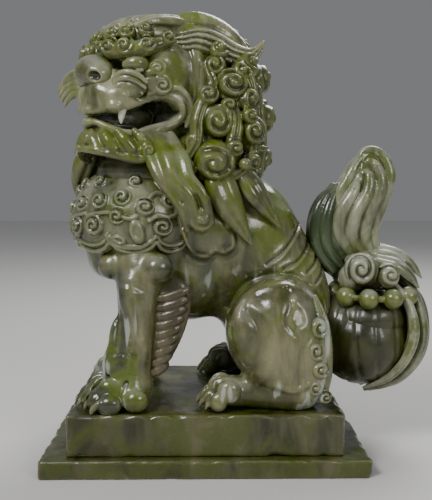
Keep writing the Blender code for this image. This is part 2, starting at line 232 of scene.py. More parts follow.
class Clay:
    """A block of field that shapes are pressed into."""

    def __init__(self, low, high, step):
        self.step = step * COARSE
        self.low = np.floor(np.array(low, float) / self.step) * self.step
        counts = np.ceil((np.array(high, float) - self.low) / self.step).astype(int) + 1
        self.field = np.full(counts, FAR, np.float32)
        self.ticks = [
            (self.low[i] + self.step * np.arange(counts[i])).astype(np.float32) for i in range(3)
        ]

    def window(self, low, high):
        cut = []
        for i in range(3):
            first = max(0, int((low[i] - self.low[i]) / self.step) - 1)
            last = min(len(self.ticks[i]), int((high[i] - self.low[i]) / self.step) + 3)
            if last <= first:
                return None
            cut.append(slice(first, last))
        return tuple(cut)

    def grid(self, cut):
        x, y, z = (self.ticks[i][cut[i]] for i in range(3))
        return x[:, None, None], y[None, :, None], z[None, None, :]

    def fused(self, shapes, pad):
        """The union of the shapes over their common window."""
        low = np.min([s.low for s in shapes], 0) - pad
        high = np.max([s.high for s in shapes], 0) + pad
        cut = self.window(low, high)
        if cut is None:
            return None, None
        part = np.full([c.stop - c.start for c in cut], FAR, np.float32)
        for shape in shapes:
            own = self.window(shape.low - pad, shape.high + pad)
            if own is None:
                continue
            inner = tuple(slice(o.start - c.start, o.stop - c.start) for o, c in zip(own, cut))
            np.minimum(part[inner], shape.press(self, own, pad), out=part[inner])
        return cut, part

    def add(self, shapes, blend=0.0):
        shapes = shapes if isinstance(shapes, list) else [shapes]
        cut, part = self.fused(shapes, blend + 2.5)
        if cut is not None:
            self.field[cut] = soft_min(self.field[cut], part, blend)
        return self

    def carve(self, shapes, blend=0.0):
        shapes = shapes if isinstance(shapes, list) else [shapes]
        cut, part = self.fused(shapes, blend + 2.5)
        if cut is not None:
            self.field[cut] = -soft_min(-self.field[cut], part, blend)
        return self

    def trace(self, points, width, height):
        """Raises (or with a negative height cuts) a soft line that runs close to the points."""
        samples = curve_points([(*p, 0.3) for p in points], 3.0)
        shapes = []
        for a, b in zip(samples, samples[1:]):
            shapes.append(strand_piece(a, b, 1.0, np.array([0.3, 0.5, 0.8]), 0, 0, 1))
        cut, part = self.fused([Rope(shapes)], 2.6 * width)
        if cut is not None:
            self.field[cut] -= height * np.exp(-((np.maximum(part, 0) / width) ** 2))
        return self

    def trace_side(self, points, width, height, side, inner=0.0):
        """The same line on the flank: it runs through (y, z) points at any depth beyond inner."""
        p = curve_points([(0, y, z, 1) for y, z in points], 2.0)
        low = [inner if side > 0 else -400, p[:, 1].min() - 3 * width, p[:, 2].min() - 3 * width]
        high = [400 if side > 0 else -inner, p[:, 1].max() + 3 * width, p[:, 2].max() + 3 * width]
        cut = self.window(np.array(low), np.array(high))
        if cut is None:
            return self
        _, y, z = self.grid(cut)
        near = np.full((y.shape[1], z.shape[2]), 1e9, np.float32)
        for a, b in zip(p, p[1:]):
            ay, az, by, bz = a[1], a[2], b[1] - a[1], b[2] - a[2]
            t = np.clip(((y[0] - ay) * by + (z[0] - az) * bz) / max(by * by + bz * bz, 1e-6), 0, 1)
            near = np.minimum(near, (y[0] - ay - t * by) ** 2 + (z[0] - az - t * bz) ** 2)
        self.field[cut] -= height * np.exp(-near / width**2)[None]
        return self

    def knead(self, height, length):
        """Slow uneven waves, as hands and glaze leave them."""
        x, y, z = self.grid(tuple(slice(0, n) for n in self.field.shape))
        for k, (a, b, c) in enumerate(((1.0, 0.8, 1.3), (1.9, 2.2, 1.6))):
            w = math.tau / length
            wave = np.sin(a * w * x + k) * np.sin(b * w * y + 2 * k) * np.sin(c * w * z + 1)
            self.field += (height / (k + 1)) * wave.astype(np.float32)
        return self


def soft_min(a, b, blend):
    if blend <= 0:
        return np.minimum(a, b)
    h = np.clip(0.5 + 0.5 * (a - b) / blend, 0, 1)
    return (a * (1 - h) + b * h - blend * h * (1 - h)).astype(np.float32)


def blurred(field, cells):
    """A box blur along each axis in turn, for the relief of the surface."""
    out = np.clip(field, -SHELL, SHELL)
    for axis in (0, 1, 2):
        pad = [(cells + 1, cells) if i == axis else (0, 0) for i in range(3)]
        total = np.cumsum(np.pad(out, pad, mode="edge"), axis=axis, dtype=np.float64)
        n = out.shape[axis]
        upper = np.take(total, np.arange(2 * cells + 1, 2 * cells + 1 + n), axis=axis)
        lower = np.take(total, np.arange(0, n), axis=axis)
        out = ((upper - lower) / (2 * cells + 1)).astype(np.float32)
    return out


def head_to_statue(points):
    c, s = math.cos(HEAD_TURN), math.sin(HEAD_TURN)
    x = c * points[:, 0] - s * points[:, 1]
    y = s * points[:, 0] + c * points[:, 1]
    return np.column_stack([x, y, points[:, 2]]) + HEAD_ORIGIN


def skin(name, clay, nodes, material, in_head=False, painted_shade=None):
    """Turns the clay into one closed mesh piece that stands for the named CAD nodes."""
    field = np.clip(clay.field, -SHELL, SHELL)
    for axis in range(3):
        edge = [slice(None)] * 3
        for end in (0, -1):
            edge[axis] = end
            field[tuple(edge)] = SHELL
    grid = openvdb.FloatGrid(SHELL)
    grid.copyFromArray(field)
    points, quads = grid.convertToQuads(isovalue=0.0)
    cells = max(1, round(2.2 / clay.step))
    soft = blurred(field, cells)
    nearest = np.clip(np.round(points).astype(int), 0, np.array(field.shape) - 1)
    relief = soft[nearest[:, 0], nearest[:, 1], nearest[:, 2]]
    relief -= field[nearest[:, 0], nearest[:, 1], nearest[:, 2]]
    points = points * clay.step + clay.low
    # painted shade: where the mask holds, the relief is set deep so the glaze takes its darkest pool colour
    if painted_shade:
        relief = np.where(painted_shade(*points.T), -1.5, relief)
    points = head_to_statue(points) if in_head else points + ORIGIN
    mesh = bpy.data.meshes.new(name)
    mesh.vertices.add(len(points))
    mesh.vertices.foreach_set("co", (points * MM).astype(np.float32).ravel())
    mesh.loops.add(quads.size)
    mesh.loops.foreach_set("vertex_index", quads.astype(np.int32).ravel())
    mesh.polygons.add(len(quads))
    mesh.polygons.foreach_set("loop_start", np.arange(0, quads.size, 4, dtype=np.int32))
    mesh.update(calc_edges=True)
    mesh.validate()
    mesh.shade_smooth()
    mesh.attributes.new("relief", "FLOAT", "POINT").data.foreach_set(
        "value", relief.astype(np.float32)
    )
    piece = bpy.data.objects.new(name, mesh)
    bpy.context.scene.collection.objects.link(piece)
    piece.data.materials.append(material)
    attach(piece, "root")
    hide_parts(*nodes)
    return piece


def mirrored(side, points):
    return [(side * p[0], *p[1:]) for p in points]


def flip(side, x, y, z):
    return (side * x, y, z)


# ---- glaze


def new_material(name):
    material = bpy.data.materials.new(name)
    material.use_nodes = True
    tree = material.node_tree
    return material, tree, tree.nodes["Principled BSDF"]


class Wiring:
    """Short calls for building a node tree."""

    def __init__(self, tree):
        self.tree = tree
        self.place = tree.nodes.new("ShaderNodeTexCoord").outputs["Object"]

    def plug(self, value, socket):
        if isinstance(value, bpy.types.NodeSocket):
            self.tree.links.new(value, socket)
        elif isinstance(value, tuple) and len(value) == 3 and socket.type == "RGBA":
            socket.default_value = (*value, 1)
        else:
            socket.default_value = value

    def noise(self, scale, detail=3.0, rough=0.55, warp=0.0, stretch=None):
        node = self.tree.nodes.new("ShaderNodeTexNoise")
        node.inputs["Scale"].default_value = scale
        node.inputs["Detail"].default_value = detail
        node.inputs["Roughness"].default_value = rough
        node.inputs["Distortion"].default_value = warp
        place = self.place
        if stretch:
            mapping = self.tree.nodes.new("ShaderNodeMapping")
            mapping.inputs["Scale"].default_value = stretch
            self.tree.links.new(place, mapping.inputs["Vector"])
            place = mapping.outputs["Vector"]
        self.tree.links.new(place, node.inputs["Vector"])
        return node.outputs["Fac"]

    def ramp(self, value, low, high, to_low=0.0, to_high=1.0):
        node = self.tree.nodes.new("ShaderNodeMapRange")
        node.interpolation_type = "SMOOTHSTEP"
        self.plug(value, node.inputs["Value"])
        for socket, number in zip(("From Min", "From Max", "To Min", "To Max"), (low, high, to_low, to_high)):
            node.inputs[socket].default_value = number
        return node.outputs["Result"]

    def calc(self, kind, a, b):
        node = self.tree.nodes.new("ShaderNodeMath")
        node.operation = kind
        self.plug(a, node.inputs[0])
        self.plug(b, node.inputs[1])
        return node.outputs[0]

    def mix(self, share, a, b):
        node = self.tree.nodes.new("ShaderNodeMix")
        node.data_type = "RGBA"
        self.plug(share, node.inputs["Factor"])
        self.plug(a, node.inputs[6])
        self.plug(b, node.inputs[7])
        return node.outputs[2]

    def relief(self):
        node = self.tree.nodes.new("ShaderNodeAttribute")
        node.attribute_name = "relief"
        return node.outputs["Fac"]

    def hollow(self, reach):
        node = self.tree.nodes.new("ShaderNodeAmbientOcclusion")
        node.samples = 6
        node.inputs["Distance"].default_value = reach
        return node.outputs["AO"]

    def up(self):
        geometry = self.tree.nodes.new("ShaderNodeNewGeometry")
        split = self.tree.nodes.new("ShaderNodeSeparateXYZ")
        self.tree.links.new(geometry.outputs["Normal"], split.inputs[0])
        return split.outputs["Z"]

    def axis(self, letter):
        split = self.tree.nodes.new("ShaderNodeSeparateXYZ")
        self.tree.links.new(self.place, split.inputs[0])
        return split.outputs[letter]


def glaze(name, pale, ground, pool_and_shade, moss, moss_share=0.5, gloss=0.25, tint=None, leg_tint_and_glints=False, painted_sheen_share=0.35):
    """Glaze that breaks pale on edges, pools dark in creases and goes mossy in patches; painted shade darkens occluded
    hollows and gaps between parts, a painted sheen lightens up-facing surfaces and painted glints fleck it pale.
    """
    material, tree, shader = new_material(name)
    w = Wiring(tree)
    relief, hollow = w.relief(), w.hollow(0.012)
    patches = w.noise(22, 4, 0.6, 0.6)
    fine = w.noise(95, 3, 0.6)
    drips = w.noise(38, 3, 0.6, 0.3, (1.0, 1.0, 0.35))
    colour = w.mix(w.ramp(drips, 0.35, 0.68), ground, pale)
    if tint:
        patch = w.ramp(w.noise(13, 2), 0.58, 0.70)
        if leg_tint_and_glints:
            front = w.calc("MULTIPLY", w.ramp(w.axis("Y"), -0.058, -0.074), w.ramp(w.axis("Z"), 0.185, 0.165))
            patch = w.calc("MAXIMUM", patch, w.calc("MULTIPLY", front, w.ramp(drips, 0.30, 0.55)))
        colour = w.mix(w.calc("MULTIPLY", patch, 0.85), colour, tint)
    mossy = w.ramp(patches, 0.62 - 0.22 * moss_share, 0.74 - 0.22 * moss_share)
    settled = w.ramp(hollow, 0.92, 0.45)
    mossy = w.calc("MAXIMUM", mossy, w.calc("MULTIPLY", settled, w.ramp(fine, 0.35, 0.6)))
    mossy = w.calc("MULTIPLY", mossy, w.ramp(w.up(), -0.9, 0.4, 0.55, 1.0))
    colour = w.mix(w.calc("MULTIPLY", mossy, 0.85), colour, moss)
    # dark in hollows: glaze pooling where the relief is sunk, and painted shade where ambient occlusion finds recesses
    # and gaps between parts
    pooled_and_shaded = w.calc("MAXIMUM", w.ramp(relief, -0.08, -0.8), w.calc("MULTIPLY", w.ramp(hollow, 0.5, 0.1), 0.9))
    colour = w.mix(w.calc("MULTIPLY", pooled_and_shaded, 0.8), colour, pool_and_shade)
    colour = w.mix(w.calc("MULTIPLY", w.ramp(relief, 0.1, 0.6), 0.75), colour, pale)
    # painted glints: small pale flecks scattered by noise and kept off the hollows, brighter than the pale glaze
    painted_glint_flecks = w.calc("MULTIPLY", w.ramp(w.noise(58, 4, 0.7, 0.4), 0.635, 0.70), w.ramp(relief, -0.1, 0.15))
    colour = w.mix(w.calc("MULTIPLY", painted_glint_flecks, 0.7), colour, tuple(min(0.7, 1.5 * c) for c in pale))
    if leg_tint_and_glints:
        # painted glints: pale grey vertical streaks over the lower body, fading in below 0.19 m
        runs = w.ramp(w.noise(75, 2, 0.5, 0.2, (1.0, 1.0, 0.16)), 0.60, 0.66)
        runs = w.calc("MULTIPLY", runs, w.ramp(w.axis("Z"), 0.19, 0.15))
        colour = w.mix(w.calc("MULTIPLY", runs, 0.6), colour, (0.42, 0.45, 0.40))
    # painted sheen: up-facing surfaces out of occlusion are lightened toward pale grey as if lit from above; the
    # glaze's last argument sets how much
    upper = w.calc("MULTIPLY", w.ramp(w.up(), 0.0, 0.85), w.ramp(w.noise(26, 3, 0.6, 0.4), 0.40, 0.60))
    upper = w.calc("MULTIPLY", upper, w.ramp(hollow, 0.3, 0.8))
    colour = w.mix(w.calc("MULTIPLY", upper, painted_sheen_share), colour, (0.48, 0.49, 0.42))
    w.plug(colour, shader.inputs["Base Color"])
    w.plug(w.ramp(fine, 0.3, 0.7, gloss * 0.8, gloss * 1.5), shader.inputs["Roughness"])
    shader.inputs["Coat Weight"].default_value = 0.34
    shader.inputs["Coat Roughness"].default_value = 0.1
    bump = tree.nodes.new("ShaderNodeBump")
    bump.inputs["Strength"].default_value = 0.35
    bump.inputs["Distance"].default_value = 0.0006
    w.plug(w.calc("ADD", w.noise(320, 3), w.calc("MULTIPLY", w.noise(110, 2), 1.5)), bump.inputs["Height"])
    w.plug(bump.outputs["Normal"], shader.inputs["Normal"])
    return material


# name, pale (edges, and brightened for the painted glints), ground, pool (glaze pooled in creases, and the painted
# shade of occluded hollows), moss, share of moss, roughness
BODY = glaze("body glaze", (0.200, 0.192, 0.097), (0.044, 0.044, 0.012), (0.007, 0.009, 0.002), (0.085, 0.118, 0.001), 0.62, 0.2, (0.016, 0.024, 0.014), True, 0.24)
FACE = glaze("face glaze", (0.252, 0.252, 0.137), (0.059, 0.062, 0.019), (0.007, 0.009, 0.002), (0.098, 0.134, 0.001), 0.6, 0.2, painted_sheen_share=0.33)
MANE = glaze("mane glaze", (0.124, 0.130, 0.036), (0.030, 0.036, 0.004), (0.009, 0.013, 0.002), (0.092, 0.124, 0.001), 0.74, 0.22, painted_sheen_share=0.15)
LOCK = glaze("lock glaze", (0.150, 0.150, 0.064), (0.043, 0.046, 0.011), (0.008, 0.011, 0.002), (0.088, 0.120, 0.001), 0.7, 0.2, painted_sheen_share=0.22)
TAIL = glaze("tail glaze", (0.289, 0.297, 0.199), (0.065, 0.072, 0.026), (0.010, 0.015, 0.004), (0.075, 0.100, 0.001), 0.42, 0.2, painted_sheen_share=0.55)
BULB = glaze("tail bulb glaze", (0.056, 0.056, 0.016), (0.017, 0.019, 0.003), (0.012, 0.014, 0.002), (0.034, 0.040, 0.001), 0.66, 0.34, painted_sheen_share=0.1)
DARK_TAIL = glaze("dark tail glaze", (0.060, 0.084, 0.036), (0.014, 0.023, 0.007), (0.005, 0.008, 0.003), (0.036, 0.052, 0.001), 0.4, 0.2, painted_sheen_share=0.1)
RIB = glaze("fringe glaze", (0.118, 0.096, 0.052), (0.047, 0.037, 0.014), (0.018, 0.015, 0.006), (0.045, 0.052, 0.001), 0.5, 0.32, painted_sheen_share=0.1)
PLINTH = glaze("plinth glaze", (0.100, 0.095, 0.038), (0.014, 0.017, 0.001), (0.008, 0.010, 0.002), (0.052, 0.068, 0.001), 0.74, 0.28, (0.026, 0.019, 0.002), painted_sheen_share=0.04)
TOOTH = glaze("tooth glaze", (0.55, 0.55, 0.44), (0.34, 0.35, 0.23), (0.07, 0.08, 0.03), (0.17, 0.20, 0.04), 0.15, 0.2)
APRON = glaze("apron glaze", (0.182, 0.189, 0.101), (0.029, 0.033, 0.008), (0.006, 0.008, 0.002), (0.070, 0.096, 0.001), 0.58, 0.2, painted_sheen_share=0.2)
BEAD = glaze("bead glaze", (0.154, 0.175, 0.044), (0.061, 0.077, 0.004), (0.012, 0.018, 0.002), (0.083, 0.105, 0.001), 0.6, 0.2)
# the tongue: a reddish tint, darkened nearly to black as painted shade inside the mouth
MOUTH_SHADE = glaze("mouth glaze", (0.05, 0.035, 0.035), (0.018, 0.012, 0.013), (0.005, 0.004, 0.004), (0.03, 0.035, 0.01), 0.1, 0.3)


# ---- plinth


def slab(node, material, seed, bites):
    low, high = box_mm(node)
    low, high = low - ORIGIN, high - ORIGIN
    half, centre, soft = (high - low) / 2, (high + low) / 2, 1.6
    clay = Clay(low - 4, high + 4, 1.0)

    def distance(x, y, z):
        q = [np.abs(v - c) - h + soft for v, c, h in zip((x, y, z), centre, half)]
        outside = np.sqrt(sum(np.maximum(v, 0) ** 2 for v in q))
        return outside + np.minimum(np.maximum(np.maximum(q[0], q[1]), q[2]), 0) - soft

    clay.add(Shape(low, high, distance))
    random = np.random.default_rng(seed)
    for _ in range(bites):
        axis = random.integers(3) if random.random() < 0.12 else random.integers(2)
        at = np.where(random.random(3) < 0.5, low, high)
        if axis < 2:
            at[2] = high[2] if random.random() < 0.75 else at[2]
        at[axis] = low[axis] + random.random() * (high - low)[axis]
        size = random.uniform(2.0, 6.5)
        outward = np.where(np.arange(3) == axis, 0, np.sign(at - centre))
        radii = np.full(3, size)
        radii[axis] *= random.uniform(1.2, 3.0)
        clay.carve(egg(at + outward * size * random.uniform(0.35, 0.62), tuple(radii)), 1.5)
    clay.knead(0.35, 46)
    skin(f"{node}_skin", clay, [node], PLINTH)


slab("plinth_lower", PLINTH, 11, 110)
slab("plinth_upper", PLINTH, 12, 110)


# ---- body, legs and paws


def make_body():
    clay = Clay((-92, -128, TOP - 2), (92, 128, 276), 0.95)
    clay.add(egg((0, -62, 215), (58, 58, 52)))
    clay.add(egg((0, -30, 255), (48, 50, 42)), 18)
    clay.add(egg((14, -62, 258), (38, 37, 20)), 8)
    clay.add(egg((0, 18, 198), (52, 70, 62)), 20)
    clay.add(egg((0, -15, 165), (42, 46, 46)), 18)
    clay.add(egg((0, 68, 128), (50, 51, 76)), 22)
    clay.add(egg((6, -90, 176), (24, 18, 17)), 14)
    for side, _ in SIDES:
        leg = [(36, -56, 196, 22), (46, -57, 168, 22), (54, -59, 132, 16.5), (57, -62, 98, 15.5), (57, -64, 76, 17)]
        clay.add(strand(mirrored(side, leg), 1.0, (1, 0, 0), spacing=5), 12)
        clay.add(egg(flip(side, 61, -41, 175), (13, 14, 13)), 5)
        clay.add(egg(flip(side, 42, -82, 176), (14, 13, 13)), 5)
        clay.add(egg(flip(side, 62, -64, 146), (12, 11, 24)), 6)
        clay.add(egg(flip(side, 60, -75, 112), (9, 9, 18)), 9)
        clay.add(egg(flip(side, 57, -78, 90), (15, 12, 14)), 11)
        clay.add(egg(flip(side, 64, -58, 104), (9, 9, 14)), 5)
        for line in (
            [(66, -78, 150), (70, -70, 130), (70, -70, 110), (68, -74, 96)],
            [(62, -80, 158), (64, -76, 138), (64, -77, 118), (64, -84, 98)],
            [(72, -62, 150), (71, -58, 130), (71, -58, 112), (74, -62, 94)],
        ):
            clay.trace(mirrored(side, line), 2.4, -1.1)
            clay.trace(mirrored(side, [(x, y - 4, z) for x, y, z in line]), 3.0, 0.7)
        clay.trace(mirrored(side, [(62, -84, 160), (72, -70, 164), (72, -54, 158)]), 2.4, -2.0)
        clay.trace(mirrored(side, [(66, -90, 100), (73, -76, 104), (73, -60, 100)]), 2.0, -1.6)
        clay.add(egg(flip(side, 50, 0, 208), (10, 25, 22)), 3)
        plate = [(-20, 208), (-14, 192), (-8, 185), (2, 184), (8, 190), (16, 188), (24, 194), (24, 206), (20, 214)]
        clay.trace_side(plate, 2.0, 1.8, side, 30)
        clay.trace_side([(y * 1.12, z - 5) for y, z in plate], 2.2, -1.5, side, 30)
        make_forepaw(clay, side)
        make_hindquarter(clay, side)
        ribs(clay, side)
    clay.knead(0.5, 60)
    clay.field = np.maximum(clay.field, (TOP - ORIGIN[2] + 0.3) - clay.ticks[2][None, None, :])
    parts = ["torso"] + [f"{w}_{p}" for _, w in SIDES for p in ("haunch", "hind_foot", "foreleg", "forepaw")]
    skin("body_skin", clay, parts, BODY)


def make_forepaw(clay, side):
    clay.add(egg(flip(side, 57, -74, 66), (22, 27, 18)), 8)
    clay.add(egg(flip(side, 56, -89, 64), (20, 18, 14)), 5)
    clay.add(egg(flip(side, 77, -60, 62), (8, 11, 10)), 3)
    clay.add(egg(flip(side, 78, -82, 60), (8.5, 11, 9.5)), 1.5)
    clay.add(strand(mirrored(side, [(82, -90, 62, 3.2), (83, -95, 58, 2.4), (83, -97, 54, 1.0)]), spacing=2), 0.8)
    clay.trace(mirrored(side, [(70, -66, 80), (80, -70, 72), (86, -71, 62), (86, -70, 54)]), 1.8, -2.6)
    for i, back in enumerate((3, 0, 4, 11)):
        x = 41.5 + 10.4 * i
        clay.add(egg(flip(side, x, -94 + back, 70), (6.0, 11, 10.5)), 2)
        clay.add(egg(flip(side, x, -104 + back, 61), (5.8, 8.5, 9)), 1.5)
        claw = [(x, -108 + back, 63, 3.0), (x, -113 + back, 59, 2.3), (x, -115 + back, 55, 1.0)]
        clay.add(strand(mirrored(side, claw), spacing=2), 0.8)
    for i in range(3):
        x, back = 46.7 + 10.4 * i, (1, 2, 7)[i]
        gap = [(x, -82 + back, 84), (x, -95 + back, 79), (x, -106 + back, 66), (x, -108 + back, 56)]
        clay.trace(mirrored(side, gap), 1.8, -3.4)


def make_hindquarter(clay, side):
    clay.add([egg(flip(side, 52, 64, 118), (35, 43, 49))], 3.5)
    clay.add(egg(flip(side, 55, 70, 92), (30, 39, 38)), 12)
    clay.add(egg(flip(side, 58, 82, 70), (23, 22, 22)), 8)
    clay.add(egg(flip(side, 62, 32, 122), (22, 13, 26)), 12)
    foot = [(60, 72, 63, 15), (61, 42, 66, 14), (62, 20, 67, 14)]
    clay.add(strand(mirrored(side, foot), spacing=4), 6)
    for i in range(4):
        x, back = 46.5 + 10.0 * i, (2, 0, 3, 8)[i]
        clay.add(egg(flip(side, x, 12 + back, 70), (5.8, 10, 10)), 2)
        clay.add(egg(flip(side, x, 3 + back, 61), (5.6, 8, 8.5)), 1.5)
        claw = [(x, -1 + back, 63, 2.9), (x, -6 + back, 59, 2.2), (x, -8 + back, 55, 1.0)]
        clay.add(strand(mirrored(side, claw), spacing=2), 0.8)
    for i in range(3):
        gap = [(51.5 + 10 * i, 22, 82), (51.5 + 10 * i, 10, 77), (51.5 + 10 * i, 0, 63), (51.5 + 10 * i, -2, 56)]
        clay.trace(mirrored(side, gap), 1.8, -3.2)
    rim = [(22, 136), (34, 157), (54, 167), (78, 166), (98, 152), (108, 134)]
    clay.trace_side(rim, 3.2, -2.4, side, 30)
    clay.trace_side([(y, z - 6) for y, z in rim], 3.6, 1.8, side, 30)
    clay.trace_side([(70, 158), (72, 146), (68, 132), (76, 122)], 3.0, -1.6, side, 60)
    clay.trace_side([(34, 140), (44, 128), (48, 110), (42, 92), (30, 82)], 3.2, -1.4, side, 40)
    clay.trace_side([(40, 146), (52, 134), (58, 112), (54, 92), (44, 76)], 3.6, 1.3, side, 40)
    clay.trace_side([(88, 118), (80, 104), (78, 88), (84, 72)], 2.8, -1.3, side, 50)
    clay.trace_side([(60, 76), (74, 72), (88, 78)], 3.0, 1.4, side, 50)
    clay.trace_side([(76, 150), (84, 142), (86, 130), (78, 124)], 4.0, 1.6, side, 60)


def ribs(clay, side):
    for line in (
        [(88, 212), (82, 203), (70, 188), (55, 177)],
        [(97, 201), (93, 190), (82, 178), (70, 172)],
        [(105, 187), (101, 176), (92, 168)],
        [(110, 172), (106, 164), (100, 158)],
    ):
        clay.trace_side(line, 1.7, -2.3, side, 8)
        clay.trace_side([(y - 3.5, z - 4) for y, z in line], 4.0, 1.0, side, 8)


make_body()


# ---- chest apron, a relief collar over the chest and shoulders

APRON_MID, APRON_RADII = (0, -58, 215), (68, 66, 56)
LOBES = ((-132, -105), (-105, -68), (-68, -28), (-28, 28), (28, 68), (68, 105), (105, 132))


def apron_hem(degrees):
    """Height of the scalloped lower edge at an angle round the chest."""
    hem = np.full(np.shape(degrees), 205.0)
    for start, end in LOBES:
        share = np.clip((degrees - start) / (end - start), 0, 1)
        lobe = 197 - 11.5 * np.sqrt(np.clip(1 - (2 * share - 1) ** 2, 0, 1))
        hem = np.where((degrees >= start) & (degrees <= end), lobe, hem)
    return hem


def apron_side(z):
    return np.interp(z, (196, 205, 226, 246, 258), (134, 134, 128, 118, 108))


def on_apron(degrees, z, lift=0.0):
    a = math.radians(degrees)
    wide = math.sqrt(max(0.05, 1 - ((z - APRON_MID[2]) / APRON_RADII[2]) ** 2))
    return np.array(
        [
            (APRON_RADII[0] + lift) * wide * math.sin(a),
            APRON_MID[1] - (APRON_RADII[1] + lift) * wide * math.cos(a),
            z,
        ]
    )


def apron_out(degrees, z):
    a = math.radians(degrees)
    return (math.sin(a), -math.cos(a), (z - APRON_MID[2]) / APRON_RADII[2] * 0.8)


def make_apron():
    clay = Clay((-76, -132, 178), (76, 4, 268), 0.75)
    dome = egg(APRON_MID, APRON_RADII)
    core = egg(APRON_MID, tuple(r - 11 for r in APRON_RADII))

    def distance(x, y, z):
        angle = np.degrees(np.arctan2(x / APRON_RADII[0], (APRON_MID[1] - y) / APRON_RADII[1]))
        below = (apron_hem(angle) - z) * 0.8
        beside = np.radians(np.abs(angle) - apron_side(z)) * 62
        edge = -soft_min(-below, -beside, 3)
        shell = np.maximum(dome.distance(x, y, z), -core.distance(x, y, z))
        return -soft_min(-np.maximum(shell, z - 261), -edge, 2.2)

    clay.add(Shape((-70, -126, 182), (70, 0, 264), distance))
    for lift, size in ((3.4, 2.1), (8.6, 1.6)):
        for start, end in LOBES:
            line = []
            for share in np.linspace(0.02, 0.98, 9):
                degrees = start + (end - start) * share
                z = float(apron_hem(np.array(degrees))) + lift
                line.append((*on_apron(degrees, z, 0.7), size))
            clay.add(strand(line, spacing=3), 0.6)
    for side in (LEFT, RIGHT):
        for inset, size in ((3, 2.0), (8, 1.5)):
            line = [(*on_apron(side * (float(apron_side(z)) - inset), z, 0.7), size) for z in (204, 214, 226, 238, 250)]
            clay.add(strand(line, spacing=3), 0.6)
    for side in (LEFT, RIGHT):
        for degrees, z, radius, turns in (
            (55, 212, 11, 1.9), (75, 220, 7.5, 1.4), (58, 233, 8.5, 1.5), (78, 236, 8, 1.4),
            (96, 228, 8.5, 1.5), (109, 211, 9.5, 1.6), (33, 210, 9.5, 1.7), (38, 230, 8.5, 1.5),
            (17, 226, 8, 1.4), (116, 233, 8, 1.4), (50, 249, 7, 1.4), (88, 249, 7, 1.4), (24, 247, 7, 1.4),
        ):
            angle = side * degrees
            clay.add(snail(on_apron(angle, z, -0.4), apron_out(angle, z), radius, 5, turns, side, 2.4), 0.5)
        for degrees, z, tall, lean in ((90, 207, 10, 15), (76, 200, 6, 70), (22, 209, 9, -10), (127, 217, 7, 10)):
            n, across, up = axes_from(apron_out(side * degrees, z))
            c, s = math.cos(math.radians(side * lean)), math.sin(math.radians(side * lean))
            axes = np.column_stack([n, across * c + up * s, up * c - across * s])
            at = on_apron(side * degrees, z, 0)
            clay.add(egg(at, (4.0, tall * 0.66, tall * 1.1), frame_axes=axes), 0.6)
            clay.carve(egg(at + 4.2 * n, (3.0, tall * 0.38, tall * 0.74), frame_axes=axes), 0.6)
        for line in (
            [(48, 220), (58, 222), (70, 223), (84, 218), (90, 220)],
            [(66, 204), (70, 196), (80, 193), (92, 193), (100, 198)],
            [(99, 216), (106, 221), (114, 219), (121, 222)],
            [(100, 236), (106, 240), (114, 238), (117, 232)],
            [(28, 218), (36, 220), (46, 222)],
            [(8, 200), (14, 196), (24, 197), (34, 196)],
        ):
            clay.add(strand([(*on_apron(side * a, z, 0.8), 1.9) for a, z in line], spacing=3), 0.5)
    clay.add(snail(on_apron(0, 210, -0.4), apron_out(0, 210), 10, 5, 1.8, LEFT, 2.4), 0.5)
    clay.add(egg(on_apron(0, 240, 0), (9, 4, 7)), 1)
    skin("chest_apron_skin", clay, ["chest_apron"], APRON)


make_apron()


# ---- head, in its own axes: it looks along -Y before it is turned


# the mouth from its front to its corner: angle round the jaw, height of the middle, half the opening
MOUTH_ANGLE = (0, 9, 24, 38, 56, 73, 92, 108)
MOUTH_MIDDLE = (-39.5, -39.6, -41.3, -42.2, -39.3, -35.7, -34.3, -35.0)
MOUTH_HALF = (2.6, 2.8, 5.5, 8.0, 9.8, 10.2, 7.6, -3.0)


def mouth_slot(x, y, z):
    angle = np.degrees(np.arctan2(np.abs(x), -(y + 22)))
    return np.abs(z - np.interp(angle, MOUTH_ANGLE, MOUTH_MIDDLE)) - np.interp(angle, MOUTH_ANGLE, MOUTH_HALF)


